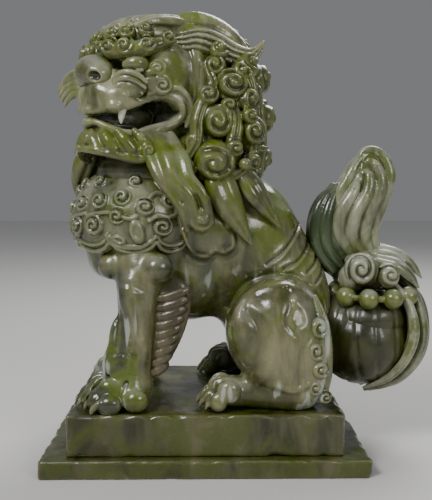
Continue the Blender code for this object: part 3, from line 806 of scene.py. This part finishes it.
def make_head():
    clay = Clay((-60, -92, -82), (60, 56, 62), 0.72)
    clay.add(egg((0, -2, 8), (44, 51, 45)))
    clay.add(egg((0, -24, 30), (44, 34, 22)), 8)
    clay.add(egg((0, -40, -6), (34, 30, 22)), 8)
    clay.add(egg((0, -55, -16), (29, 22, 16)), 8)
    clay.add(egg((0, -60, -27), (25, 18, 11)), 5)
    clay.add(egg((0, -56, 8), (10, 16, 9)), 6)
    for side, _ in SIDES:
        at = lambda x, y, z: flip(side, x, y, z)
        clay.add(egg(at(31, -6, -22), (17, 23, 37)), 10)
        clay.add(egg(at(20, -54, -22), (16, 19, 13)), 5)
        clay.add(egg(at(10, -67, -20), (12, 12, 13)), 4)
        clay.add(egg(at(37, -32, -8), (12, 15, 12)), 6)
        clay.add(egg(at(37, -26, 8), (11, 13, 11)), 5)
        clay.carve(egg(at(30, -55, 8), (14, 9, 9)), 4)
        clay.carve(egg(at(20, -57, 8), (8.5, 10, 7)), 3)
    jaw = [egg((0, -34, -62), (37, 36, 13)), egg((0, -58, -56), (24, 18, 13))]
    for side, _ in SIDES:
        jaw.append(egg(flip(side, 30, -22, -56), (15, 22, 18)))
    clay.add(jaw, 6)
    core = egg((0, -38, -40), (18, 35, 16))
    clay.add(core, 2)
    x, y, z = clay.grid(tuple(slice(0, n) for n in clay.field.shape))
    opening = np.maximum(mouth_slot(x, y, z), -(clay.field + 26)).astype(np.float32)
    opening = np.maximum(np.maximum(opening, y + 8), -core.distance(x, y, z))
    clay.field = -soft_min(-clay.field, opening, 2.5)
    for side, _ in SIDES:
        at = lambda points: mirrored(side, points)
        lip = [(0, -78, -34, 2.6), (11, -73.5, -34, 2.6), (21, -65, -32, 2.6), (28, -56, -31, 2.8), (34, -45, -27, 3.0),
               (40, -33, -22.5, 3.2), (45, -22, -22, 3.4), (48, -13, -26, 3.6), (49, -10, -35, 3.6), (47, -14, -43, 3.4),
               (43, -24, -47.5, 3.2), (38, -34, -50.5, 3.0), (33, -46, -53, 3.0), (27, -56, -52.5, 3.0), (19, -66, -49, 3.0), (10, -73, -44.5, 3.0), (0, -77, -43.5, 3.0)]
        clay.add(strand(at(lip), spacing=2.5), 5.5)
        fold = [(41, -40, -20, 1.8), (47, -28, -15, 2.4), (51.5, -16, -16, 2.6), (54, -7, -24, 2.6), (54, -4, -36, 2.4), (51, -8, -47, 1.8)]
        clay.add(strand(at(fold), spacing=2.5), 4.5)
        band = [(43, 2, 32, 6), (50, 6, 14, 8.5), (53, 8, -12, 9.5), (51, 6, -38, 9.5), (44, 2, -62, 8)]
        clay.add(strand(at(band), 0.8, spacing=4), 4)
        clay.trace(at([(48, -5, 24), (54, -3, 2), (55, -1, -20), (52, -1, -44)]), 2.0, -1.2)
        clay.add(snail(flip(side, 47, -31, -14), (0.9 * side, -0.44, 0.1), 8, 5, 1.5, side, 2.2), 1.6)
        clay.add(snail(flip(side, 43.5, -34, 0), (0.88 * side, -0.48, 0), 7.0, 6, 1.5, side, 2.0), 1.4)
        clay.add(egg(flip(side, 40, -12, 3), (11, 23, 17), (0, 0, side * 8)), 12)
        clay.add(egg(flip(side, 24, -64, -31), (9, 8, 5.5)), 3)
        clay.trace(at([(24, -60, -2), (33, -58, -6), (42, -47, -5), (47, -38, -6)]), 2.0, -1.8)
        clay.add(strand(at([(22, -62, -6, 1.6), (33, -59, -9.5, 2.2), (42, -49, -8.5, 1.6)]), spacing=2.5), 2)
        for k, x in enumerate((6, 17, 28, 38)):
            lock = [(x * 0.9, -47, 37, 3.5), (x, -36, 47 - 0.16 * x, 5.5), (x * 1.05, -16, 51 - 0.2 * x, 6.5),
                    (x * 1.06, 6, 50 - 0.22 * x, 6.5), (x * 1.0, 26, 42 - 0.2 * x, 5)]
            clay.add(strand(at(lock), 0.75, (side * x / 60, -0.1, 1), 2, 1.1, 3), 1.2)
        for x, y, z, r in ((12, -50, 38, 6.5), (26, -44, 39, 6.5), (36, -34, 38, 6)):
            clay.add(snail(flip(side, x, y, z), (side * x / 50, -0.7, 0.8), r, 5, 1.5, side, 2.0), 0.8)
    clay.knead(0.35, 34)
    # painted shade inside the open mouth
    shade = lambda x, y, z: (mouth_slot(x, y, z) < 0.6) & (x**2 / 40**2 + (y + 22) ** 2 / 50**2 < 1) & (y < -6)
    skin("head_skin", clay, ["head", "lower_jaw"], FACE, in_head=True, painted_shade=shade)


def small_head_parts():
    clay = Clay((-28, -96, -22), (28, -50, 20), 0.6)
    clay.add(egg((0, -65, 4), (15, 18, 11)))
    clay.add(egg((0, -74, 0), (14, 12, 11.5)), 4)
    for side, _ in SIDES:
        clay.add(egg(flip(side, 12, -70, -4), (10.5, 11.5, 9.5)), 7)
        clay.carve(egg(flip(side, 16.5, -81, -6.5), (5, 8, 4.4)), 2)
    clay.trace([(0, -86, -6), (0, -82, -14)], 1.4, -1.6)
    # painted shade in the nostrils
    nostril_shade = lambda x, y, z: ((np.abs(x) - 16.5) / 5) ** 2 + ((y + 81) / 8) ** 2 + ((z + 6.5) / 4.4) ** 2 < 1
    skin("nose_skin", clay, ["nose"], FACE, in_head=True, painted_shade=nostril_shade)

    clay = Clay((-22, -74, -54), (22, -14, -38), 0.6)
    clay.add([egg((0, -43, -46.5), (16, 27, 4.8))]).trace([(0, -64, -43), (0, -44, -42), (0, -22, -43)], 1.6, -1.6)
    skin("tongue_skin", clay, ["tongue"], MOUTH_SHADE, in_head=True)

    for side, word in SIDES:
        low, high = np.sort([side * 18, side * 50])
        clay = Clay((low - 3, -68, -10), (high + 3, -28, 24), 0.5)
        clay.add(egg(flip(side, 32, -47.5, 4.2), (12.5, 11.5, 8.8)))
        clay.add(egg(flip(side, 31, -55, 3.6), (4.2, 4.6, 4.2)), 0.6)
        clay.trace(mirrored(side, [(31, -58.2, 3.6), (31, -60, 3.6)]), 0.8, -0.8)
        lid = [(20, -56, -1, 1.6), (28, -59.5, -4.6, 2.2), (37, -57, -5.4, 2.2), (44, -49, -2, 1.6)]
        clay.add(strand(mirrored(side, lid), spacing=2), 1.4)
        skin(f"{word}_eye_skin", clay, [f"{word}_eye"], FACE, in_head=True)

        low, high = np.sort([side * 20, side * 34])
        clay = Clay((low - 3, -68, -50), (high + 3, -48, -18), 0.5)
        clay.add(strand(mirrored(side, [(27, -57, -26, 4.8), (27, -58.5, -35, 3.6), (27, -59.5, -41, 2.4), (27, -59.5, -45, 0.9)]), spacing=1.5))
        skin(f"{word}_fang_skin", clay, [f"{word}_fang"], TOOTH, in_head=True)

        low, high = np.sort([side * 0, side * 58])
        clay = Clay((low - 8, -76, 4), (high + 3, -12, 46), 0.62)
        ridge = [(5, -61, 15.5, 6.5), (18, -62, 15.5, 7), (30, -57.5, 15.5, 7.2), (41, -45, 16.5, 7), (48, -24, 24, 5)]
        clay.add(strand(mirrored(side, ridge), spacing=3))
        for x, y, z, r, out in ((7, -64, 19, 8.5, (0.05, -1, 0.2)), (20, -65, 18.5, 8.8, (0.35, -0.92, 0.15)),
                                (33, -58.5, 18, 8.8, (0.65, -0.75, 0.15)), (44, -44, 19, 8.2, (0.88, -0.5, 0.2)), (50, -27, 26, 7, (0.95, -0.2, 0.3)),
                                (13, -57, 31, 8, (0.2, -0.8, 0.6)), (26, -52, 31, 8, (0.5, -0.7, 0.6)), (38, -41, 32, 7.5, (0.75, -0.5, 0.6))):
            clay.add(snail(flip(side, x, y, z), (side * out[0], *out[1:]), r, r * 0.8, 1.5, side, 2.0), 1.6)
        skin(f"{word}_brow_skin", clay, [f"{word}_brow"], MANE, in_head=True)

        low, high = np.sort([side * 12, side * 74])
        clay = Clay((low - 4, -84, -48), (high + 4, -36, 10), 0.55)
        if side == LEFT:
            clay.add(egg((34, -54, -16), (14, 7, 9), (0, 0, 40)))
            for k, reach in enumerate((1.0, 0.95, 0.86, 0.74)):
                drop = 4.6 * k
                tuft = [(22, -64, -13 - drop, 1.8), (28, -65, -7 - drop, 2.5), (37 * reach + 1, -61, -4 - drop, 2.7),
                        (46 * reach, -54, -7 - drop, 2.6), (51 * reach, -49, -13 - 0.9 * drop, 1.2)]
                clay.add(strand(tuft, spacing=2.5), 0.4)
        else:
            clay.add(strand(mirrored(side, [(22, -60, -12, 9), (34, -62, -14, 7)]), spacing=3))
            for k, length in enumerate((0.8, 0.95, 0.92, 0.8, 0.66)):
                drop = 4.6 * k
                tuft = [(20, -64, 0 - drop, 3.6), (32, -68, 3 - drop, 3.8), (20 + 26 * length, -71, 1 - drop, 3.4),
                        (20 + 36 * length, -73, -3 - drop, 2.6), (20 + 41 * length, -74, -8 - drop, 0.9)]
                clay.add(strand(mirrored(side, tuft), spacing=2.5), 0.6)
        skin(f"{word}_whiskers_skin", clay, [f"{word}_whiskers"], FACE, in_head=True)

        low, high = np.sort([side * 26, side * 84])
        clay = Clay((low - 4, -28, -4), (high + 4, 72, 60), 0.7)
        lobe = [(36, -12, 37, 10), (43, 4, 42, 13), (52, 20, 38, 13), (60, 34, 30, 10), (66, 44, 22, 5)]
        clay.add(strand(mirrored(side, lobe), 0.6, (1, -0.45, 0.4), spacing=4))
        curl = [(36, -16, 26, 6), (46, -6, 27, 9), (54, 4, 28, 10.5), (61, 16, 24, 11.5), (67, 29, 17, 10.5), (73, 42, 15, 8), (76, 51, 20, 5), (77, 58, 29, 1.6)]
        clay.add(strand(mirrored(side, curl), 0.5, (1, -0.5, 0.1), 4, 1.8, 3), 1.0)
        clay.trace(mirrored(side, [(44, -4, 41), (56, 12, 40), (66, 28, 32)]), 2.2, -1.6)
        skin(f"{word}_ear_skin", clay, [f"{word}_ear"], FACE, in_head=True)


def make_beard():
    clay = Clay((-54, -94, -90), (54, -20, -46), 0.65)
    out = lambda p: (p[0], p[1] + 22, 18)
    edge = [(40, -30, -65, 8), (37, -46, -66, 8.5), (28, -60, -63.5, 8), (14, -73, -59, 7.5), (0, -79, -57.5, 7.5)]
    for side, _ in SIDES:
        clay.add(strand(mirrored(side, edge), 0.42, out, spacing=3), 1.5)
        rim = [(43, -40, -73, 2.8), (40, -50, -76.5, 3.2), (32, -62.5, -74, 3.2), (17, -77.5, -69, 3.0), (0, -85, -66, 3.0)]
        clay.add(strand(mirrored(side, rim), spacing=2.5), 1.6)
        clay.add(egg(flip(side, 41, -41, -69), (8, 8, 8)), 3)
        clay.add(snail(flip(side, 45, -43, -69), (side * 0.85, -0.5, 0), 7, 5, 1.3, side, 1.6), 1.0)
        for k in range(4):
            a, b = math.radians(6 + 19 * k), math.radians(22 + 19 * k)
            fall = [(38 * math.sin(a), -30 - 45.5 * math.cos(a), -52, 3), (40.5 * math.sin((a + b) / 2), -30 - 48 * math.cos((a + b) / 2), -59, 5),
                    (41 * math.sin(b), -30 - 48.5 * math.cos(b), -67, 5)]
            clay.add(strand(mirrored(side, fall), spacing=2.5), 3)
    skin("beard_skin", clay, ["beard"], LOCK, in_head=True)


make_head()
small_head_parts()
make_beard()


# ---- mane


def make_mane():
    clay = Clay((-72, -66, 228), (72, 74, 398), 0.85)
    clay.add(egg((-4, 5, 318), (48, 45, 58)))
    clay.add(egg((0, 0, 280), (57, 49, 50)), 12)
    clay.add(egg((0, -8, 358), (40, 42, 32)), 10)
    clay.carve(egg((52, -38, 322), (26, 38, 42), (0, 0, 12)), 8)
    for side, _ in SIDES:
        for line in (
            [(50, 2, 345, 4), (55, 6, 332, 6), (57, -2, 316, 6.5), (60, -7, 300, 6.5), (62, -8, 284, 6), (60, -16, 268, 4)],
            [(50, 24, 314, 5), (55, 26, 300, 7), (58, 24, 284, 7), (57, 22, 268, 5)],
            [(42, 36, 330, 5), (45, 38, 312, 7), (44, 41, 292, 6), (42, 40, 266, 6)],
            [(26, 45, 330, 6), (30, 46, 308, 7), (28, 49, 286, 7), (26, 46, 258, 6)],
            [(36, 28, 352, 6), (43, 36, 340, 7), (45, 42, 322, 5)],
        ):
            clay.add(strand(mirrored(side, line), 0.9, (side, 0.4, 0), 2, 1.6, 3), 2)
        for x, y, z, r in (
            (58, 3, 323, 9), (47, 37, 320, 11), (60, 25, 279, 9), (56, 20, 314, 8),
            (34, 44, 290, 12), (32, 37, 352, 12), (46, 41, 268, 9), (24, 45, 258, 9), (44, 12, 362, 9),
            (60, -10, 284, 8), (46, 30, 344, 9), (54, 38, 306, 8), (62, -14, 262, 8),
        ):
            n = (side * x / 54, (y - 2) / 54, (z - 305) / 90)
            clay.add(snail(flip(side, x, y, z), n, r, r * 0.85, 1.4, side, 2.0), 1.6)
        clay.add(egg(flip(side, 60, 34, 264), 5.5), 0.6)
    for x, y, z, r in ((6, 32, 372, 12), (-12, 22, 382, 11), (18, 23, 378, 11), (0, 41, 356, 10)):
        clay.add(snail((x, y, z), (x / 60, 0.6, 0.8), r, r * 0.7, 1.5, LEFT, 2.0), 1.4)
    clay.knead(0.5, 30)
    skin("mane_cape_skin", clay, ["mane_cape"], MANE)


# radius, the way that the tail runs off (degrees from straight up), shift from the CAD curl
CURLS = {
    "curl_ear": (10, 200, (0, 2, 0)),
    "curl_top": (15, 215, (0, -2, 1)),
    "curl_middle": (15, 150, (0, 3, -1)),
    "curl_back": (13.5, 170, (0, 3, -6)),
    "curl_low": (18.5, 205, (0, 2, -2)),
}


def make_curl(node, normal, radius, side, run, shift=(0, 0, 0)):
    at = middle(node) - ORIGIN + np.array(shift, float)
    n, across, up = axes_from(normal)
    at = at - 3.5 * n
    clay = Clay(at - 2.2 * radius, at + 2.2 * radius, 0.62)
    clay.add(egg(at - 0.1 * radius * n, (radius * 0.7, radius, radius), frame_axes=np.column_stack([n, across, up])))
    clay.add(snail(at, normal, radius, radius * 0.86, 1.75, side, 2.8), 0.8)
    clay.add(egg(at + 0.6 * radius * n, (radius * 0.26, radius * 0.3, radius * 0.3)), 1.5)
    a = math.radians(run)
    tail = []
    for turn, reach, size in ((-0.4, 0.82, 0.2), (0, 0.9, 0.34), (0.4, 1.05, 0.36), (0.75, 1.3, 0.28), (1.05, 1.6, 0.10)):
        b = a + side * turn
        tail.append((*(at - 0.2 * radius * n + radius * reach * (-across * math.sin(b) + up * math.cos(b))), radius * size))
    clay.add(strand(tail, 0.85, normal, 2, 1.0, 2.0), 1.2)
    clay.knead(0.4, 16)
    skin(f"{node}_skin", clay, [node], MANE)


def make_lock(node, points, flat, face, flutes, depth, ball=None, material=None, step=0.7):
    p = np.array(points, float)
    clay = Clay(p[:, :3].min(0) - p[:, 3].max() - 5, p[:, :3].max(0) + p[:, 3].max() + 5, step)
    clay.add(strand(points, flat, face, flutes, depth, 2.5))
    if ball:
        clay.add(egg(*ball), 2)
    skin(f"{node}_skin", clay, [node], material or MANE)


def make_left_beard_lock():
    clay = Clay((36, -64, 198), (90, 24, 296), 0.7)
    clay.add(strand([(50, -44, 284, 9), (60, -35, 268, 13), (66, -26, 252, 15), (67, -15, 237, 14.5), (65, -8, 225, 13), (63, -4, 214, 10)], 0.62, (1, -0.2, 0.1)))
    for line in (
        [(48, -52, 284, 5), (64, -44, 264, 5.5), (71, -36, 249, 5), (71, -24, 236, 5), (71, -18, 222, 4.5), (67, -15, 209, 3)],
        [(50, -40, 288, 5), (68, -31, 266, 6), (74, -25, 251, 5.5), (75, -13, 238, 5.5), (73, -9, 225, 5), (70, -8, 214, 4)],
        [(50, -30, 288, 5), (64, -18, 269, 5.5), (72, -13, 254, 5), (74, -3, 241, 5), (73, 1, 229, 4.5), (69, 4, 216, 4)],
    ):
        clay.add(strand(line, spacing=3), 4)
    for line in ([(66, -42, 258), (73, -31, 246), (74, -20, 232)], [(66, -27, 262), (74, -20, 248), (76, -8, 236), (74, -4, 226)], [(64, -14, 266), (72, -8, 252), (74, 2, 240)]):
        clay.trace(line, 2.6, -1.5)
    clay.add(snail((70, -4, 218), (1, 0.1, 0.1), 11, 8, 1.2, LEFT, 1.8), 2)
    skin("left_beard_lock_skin", clay, ["left_beard_lock"], LOCK)


def make_locks():
    make_left_beard_lock()
    right = [(6, -100, 290, 9), (0, -106, 277, 13), (-4, -112, 263, 14), (-8, -118, 249, 9), (-11, -121, 236, 2.5)]
    make_lock("right_beard_lock", right, 0.7, (-0.75, -0.65, 0.2), 3, 1.6, material=LOCK)
    for side, word in SIDES:
        long_lock = [(55, 8, 262, 9), (60, 14, 244, 14), (60, 22, 226, 12), (57, 32, 209, 6.5), (54, 40, 195, 1.6)]
        make_lock(f"{word}_long_lock", mirrored(side, long_lock), 0.5, (side, 0.2, 0.15), 2, 1.1, material=LOCK)
        short_lock = [(48, 32, 260, 8), (52, 42, 243, 11), (50, 52, 228, 8), (46, 60, 217, 4), (43, 66, 209, 1.2)]
        make_lock(f"{word}_short_lock", mirrored(side, short_lock), 0.5, (side, 0.35, 0.3), 2, 1.0, material=LOCK)


make_mane()
for side, word in SIDES:
    for part, (radius, run, shift) in CURLS.items():
        x, y, z = middle(f"{word}_{part}") - ORIGIN
        make_curl(f"{word}_{part}", (side, (y - 4) / 90, (z - 305) / 160), radius, side, run, shift)
for node, radius in (("rear_curl_top", 16), ("rear_curl_middle", 18), ("rear_curl_low", 16)):
    z = (middle(node) - ORIGIN)[2]
    make_curl(node, (0, 1, (z - 305) / 120), radius, LEFT, 190, (0, -6, 0))
make_locks()


# ---- fringes on the legs


def make_fringes():
    for side, word in SIDES:
        corners = np.array([flip(side, 42, -62, 76), flip(side, 74, -2, 172)])
        clay = Clay(corners.min(0), corners.max(0), 0.65)
        panel = [(53, -32, 160, 10), (55, -29, 148, 16.5), (57, -31, 130, 15.5), (58, -36, 111, 13), (58, -42, 95, 9.5), (58, -47, 84, 5)]
        clay.add(strand(mirrored(side, panel), 0.3, (side, 0, 0), spacing=4))
        folds = 9
        for k in range(folds):
            share = k / (folds - 1)
            y, z = -29 - 13 * share**1.4, 153 - 66 * share
            length = 16.5 - 7.0 * share
            fold = [(58, y - length, z - 5, 2.5), (61, y - 0.35 * length, z - 4, 4.0), (61.5, y + 0.3 * length, z - 0.5, 4.2),
                    (60, y + 0.75 * length, z + 2.5, 3.4), (57, y + 0.97 * length, z + 3.5, 1.2)]
            clay.add(strand(mirrored(side, fold), 0.7, (side, 0, 0), spacing=3), 1.2)
        skin(f"{word}_foreleg_fringe_skin", clay, [f"{word}_foreleg_fringe"], RIB)

        corners = np.array([flip(side, 46, 78, TOP - ORIGIN[2] + 0.5), flip(side, 92, 126, 164)])
        clay = Clay(corners.min(0), corners.max(0), 0.65)
        back = [(66, 94, 150, 3), (70, 99, 132, 6.5), (71, 102, 108, 8), (70, 102, 82, 8), (66, 100, 62, 6)]
        clay.add(strand(mirrored(side, back), 0.8, (side, 0.3, 0), 2, 1.2, 3))
        for x, y, z, r in ((75, 96, 126, 10.5), (77, 93, 106, 9.5), (76, 98, 90, 9.5), (76, 93, 74, 8.5), (72, 103, 64, 6.5)):
            clay.add(snail(flip(side, x, y, z), (side, 0.4, 0.05), r, r * 0.6, 1.6, side, 2.0), 1.0)
        skin(f"{word}_haunch_fringe_skin", clay, [f"{word}_haunch_fringe"], BODY)


make_fringes()


# ---- tail


def make_tail():
    clay = Clay((-54, 96, TOP - ORIGIN[2] - 8), (54, 212, 158), 0.85)
    clay.add([egg((0, 150, 100), (44, 45, 43)), egg((0, 154, 122), (40, 39, 26)), egg((0, 128, 112), (34, 24, 34))])
    for side, _ in SIDES:
        for line in (
            [(128, 142), (119, 116), (122, 84), (134, 62)], [(142, 143), (136, 116), (139, 82), (149, 60)],
            [(156, 143), (154, 116), (156, 84), (162, 62)], [(170, 142), (173, 116), (173, 88), (172, 66)],
        ):
            clay.trace_side(line, 2.4, -0.8, side, 4)
    clay.knead(0.5, 48)
    skin("tail_bulb_skin", clay, ["tail_bulb"], BULB)

    clay = Clay((-46, 112, 136), (46, 212, 198), 0.7)
    clay.add([egg((0, 154, 164), (31, 28, 16)), egg((0, 150, 177), (22, 22, 11))], 3)
    for side, _ in SIDES:
        clay.add(snail(flip(side, 29, 166, 164), (side, 0.4, 0.25), 11.5, 9, 1.6, side, 2.2), 1.2)
        clay.add(egg(flip(side, 17, 134, 160), (13, 11, 12)), 6)
        for spike in (
            [(8, 156, 186, 6), (11, 170, 184, 8), (13, 184, 178, 8), (13, 194, 170, 5), (12, 202, 160, 1.2)],
            [(19, 160, 178, 6), (23, 176, 173, 7.5), (23, 188, 163, 6), (21, 197, 152, 1.4)],
        ):
            clay.add(strand(mirrored(side, spike), 0.6, (side, 0.3, 0.8), 2, 1.1, 2.5), 1.0)
    skin("tail_knot_skin", clay, ["tail_knot"], TAIL)

    clay = Clay((-30, 104, 164), (30, 190, 294), 0.7)
    body = [(0, 147, 178, 13), (0, 140, 200, 17), (0, 145, 225, 20), (0, 151, 248, 21), (0, 154, 264, 15)]
    clay.add(strand(body, 0.6, (1, 0, 0), spacing=3))
    for side, _ in SIDES:
        for line in (
            [(7, 163, 178, 4.5), (7, 157, 203, 5.5), (8, 165, 230, 6), (8, 171, 250, 5.5), (7, 169, 266, 5), (5, 160, 277, 4.5), (4, 149, 278, 3.5), (5, 142, 269, 2.2)],
            [(9, 156, 178, 5), (10, 148, 200, 6), (12, 153, 224, 6.5), (12, 162, 245, 6), (10, 160, 260, 5), (8, 151, 268, 4), (7, 145, 261, 2.2)],
            [(10, 147, 178, 5), (12, 136, 198, 6.5), (14, 139, 219, 6.5), (14, 150, 240, 6), (12, 151, 255, 4.5), (10, 147, 257, 2.2)],
            [(9, 139, 180, 4.5), (11, 125, 199, 6), (12.5, 125, 218, 6.5), (12, 136, 238, 6), (9, 143, 253, 3.0)],
            [(7, 121, 212, 3.0), (8, 124, 234, 5), (8, 133, 253, 5), (6, 142, 268, 4), (3, 152, 276, 2.5)],
        ):
            clay.add(strand(mirrored(side, line), 0.9, (1, 0, 0), 0, 0, 2.5), 1.2)
    clay.knead(0.3, 30)
    skin("tail_plume_skin", clay, ["tail_plume"], TAIL)

    clay = Clay((-24, 84, 150), (24, 146, 262), 0.7)
    flame = [(0, 126, 166, 9), (0, 113, 184, 14), (0, 110, 206, 15), (0, 115, 228, 12.5), (0, 126, 246, 3)]
    clay.add(strand(flame, 0.75, (1, 0, 0), 0, 0, 3))
    for side, _ in SIDES:
        for line in (
            [(6, 120, 166, 4), (9, 106, 184, 5), (9, 102, 204, 5.5), (8, 106, 226, 5), (4, 120, 246, 2.5)],
            [(8, 126, 172, 4), (11, 114, 188, 6), (12, 111, 206, 6), (10, 115, 226, 5.5), (5, 124, 246, 2.5)],
            [(7, 130, 180, 4), (10, 122, 194, 5), (10, 120, 210, 5), (8, 121, 228, 4.5), (4, 127, 244, 2)],
        ):
            clay.add(strand(mirrored(side, line), 0.9, (1, 0, 0), 0, 0, 3), 1.5)
    skin("tail_front_flame_skin", clay, ["tail_front_flame"], DARK_TAIL)

    clay = Clay((-56, 110, 126), (56, 208, 162), 0.62)
    for k in range(10):
        a = math.radians(36 * k)
        clay.add(egg((40 * math.sin(a), 158 + 35 * math.cos(a), 144), 9.3), 0.5)
        bridge = [(40 * math.sin(a + t), 158 + 35 * math.cos(a + t), 144, 3) for t in (0, math.radians(18), math.radians(36))]
        clay.add(strand(bridge, spacing=4), 0.8)
    skin("tail_bead_band_skin", clay, ["tail_bead_band"], BEAD)

    for side, word in SIDES:
        node = f"{word}_tail_rosette"
        make_rosette(node, middle(node) - ORIGIN, side)
        out = lambda p, side=side: (side * 0.9, p[1] - 150, p[2] - 104)
        bands = (
            [(8, 176, 168, 4), (15, 192, 150, 7), (19, 200, 124, 8.5), (20, 200, 98, 8.5), (18, 188, 74, 8), (14, 170, 60, 6), (10, 152, 53, 2.5)],
            [(22, 174, 156, 4), (29, 186, 137, 6.5), (33, 190, 112, 7.5), (32, 183, 88, 7), (27, 168, 69, 6), (22, 148, 58, 2)],
            [(3, 184, 158, 4), (6, 200, 140, 8), (7, 206, 112, 9), (7, 202, 86, 8.5), (6, 184, 63, 7), (5, 158, 52, 3)],
        )
        corners = np.array([flip(side, -6, 134, 46), flip(side, 54, 224, 180)])
        clay = Clay(corners.min(0), corners.max(0), 0.75)
        for line in bands:
            clay.add(strand(mirrored(side, line), 0.7, out, 2, 1.3, 3), 0.7)
        skin(f"{word}_tail_lock_skin", clay, [f"{word}_tail_lock"], TAIL)


def make_rosette(node, at, side):
    clay = Clay(at - 22, at + 22, 0.6)
    clay.add(snail(at - np.array([side * 2.5, 0, 0]), (side, -0.2, 0.1), 15.5, 11, 1.9, side, 2.6))
    skin(f"{node}_skin", clay, [node], TAIL)


make_tail()


# ---- studio

def studio():
    floor_mesh = bpy.data.meshes.new("floor")
    floor_mesh.from_pydata([(-4, -4, 0), (4, -4, 0), (4, 4, 0), (-4, 4, 0)], [], [(0, 1, 2, 3)])
    floor = bpy.data.objects.new("floor", floor_mesh)
    bpy.context.scene.collection.objects.link(floor)
    plain, _, shader = new_material("floor")
    shader.inputs["Base Color"].default_value = (0.60, 0.59, 0.57, 1)
    shader.inputs["Roughness"].default_value = 0.8
    floor_mesh.materials.append(plain)

    world = bpy.data.worlds.new("studio")
    world.use_nodes = True
    backdrop = world.node_tree.nodes["Background"]
    backdrop.inputs["Color"].default_value = (0.80, 0.82, 0.85, 1)
    rays = world.node_tree.nodes.new("ShaderNodeLightPath")
    wires = Wiring(world.node_tree)
    seen = wires.ramp(rays.outputs["Is Camera Ray"], 0, 1, 0.32, 0.24)
    wires.plug(seen, backdrop.inputs["Strength"])
    bpy.context.scene.world = world

    for name, at, size, power in (
        ("key", (1.1, -0.9, 1.4), 0.6, 27),
        ("side", (1.2, 0.9, 0.8), 0.5, 7),
        ("back", (-0.8, 0.5, 1.3), 0.7, 14),
    ):
        lamp = bpy.data.lights.new(name, "AREA")
        lamp.size, lamp.energy = size, power
        light = bpy.data.objects.new(name, lamp)
        light.location = at
        light.rotation_euler = (Vector((0, 0, 0.2)) - Vector(at)).to_track_quat("-Z", "Y").to_euler()
        bpy.context.scene.collection.objects.link(light)

    lens = bpy.data.cameras.new("camera")
    lens.sensor_width, lens.lens = 36, 51.9
    camera = bpy.data.objects.new("camera", lens)
    camera.location = (0.6787, 0.0011, 0.2486)
    pitch, yaw = math.radians(5.35), math.radians(0.75)
    aim = Vector((-math.cos(yaw), math.sin(yaw), -math.tan(pitch)))
    camera.rotation_euler = aim.to_track_quat("-Z", "Y").to_euler()
    bpy.context.scene.collection.objects.link(camera)
    bpy.context.scene.camera = camera


studio()
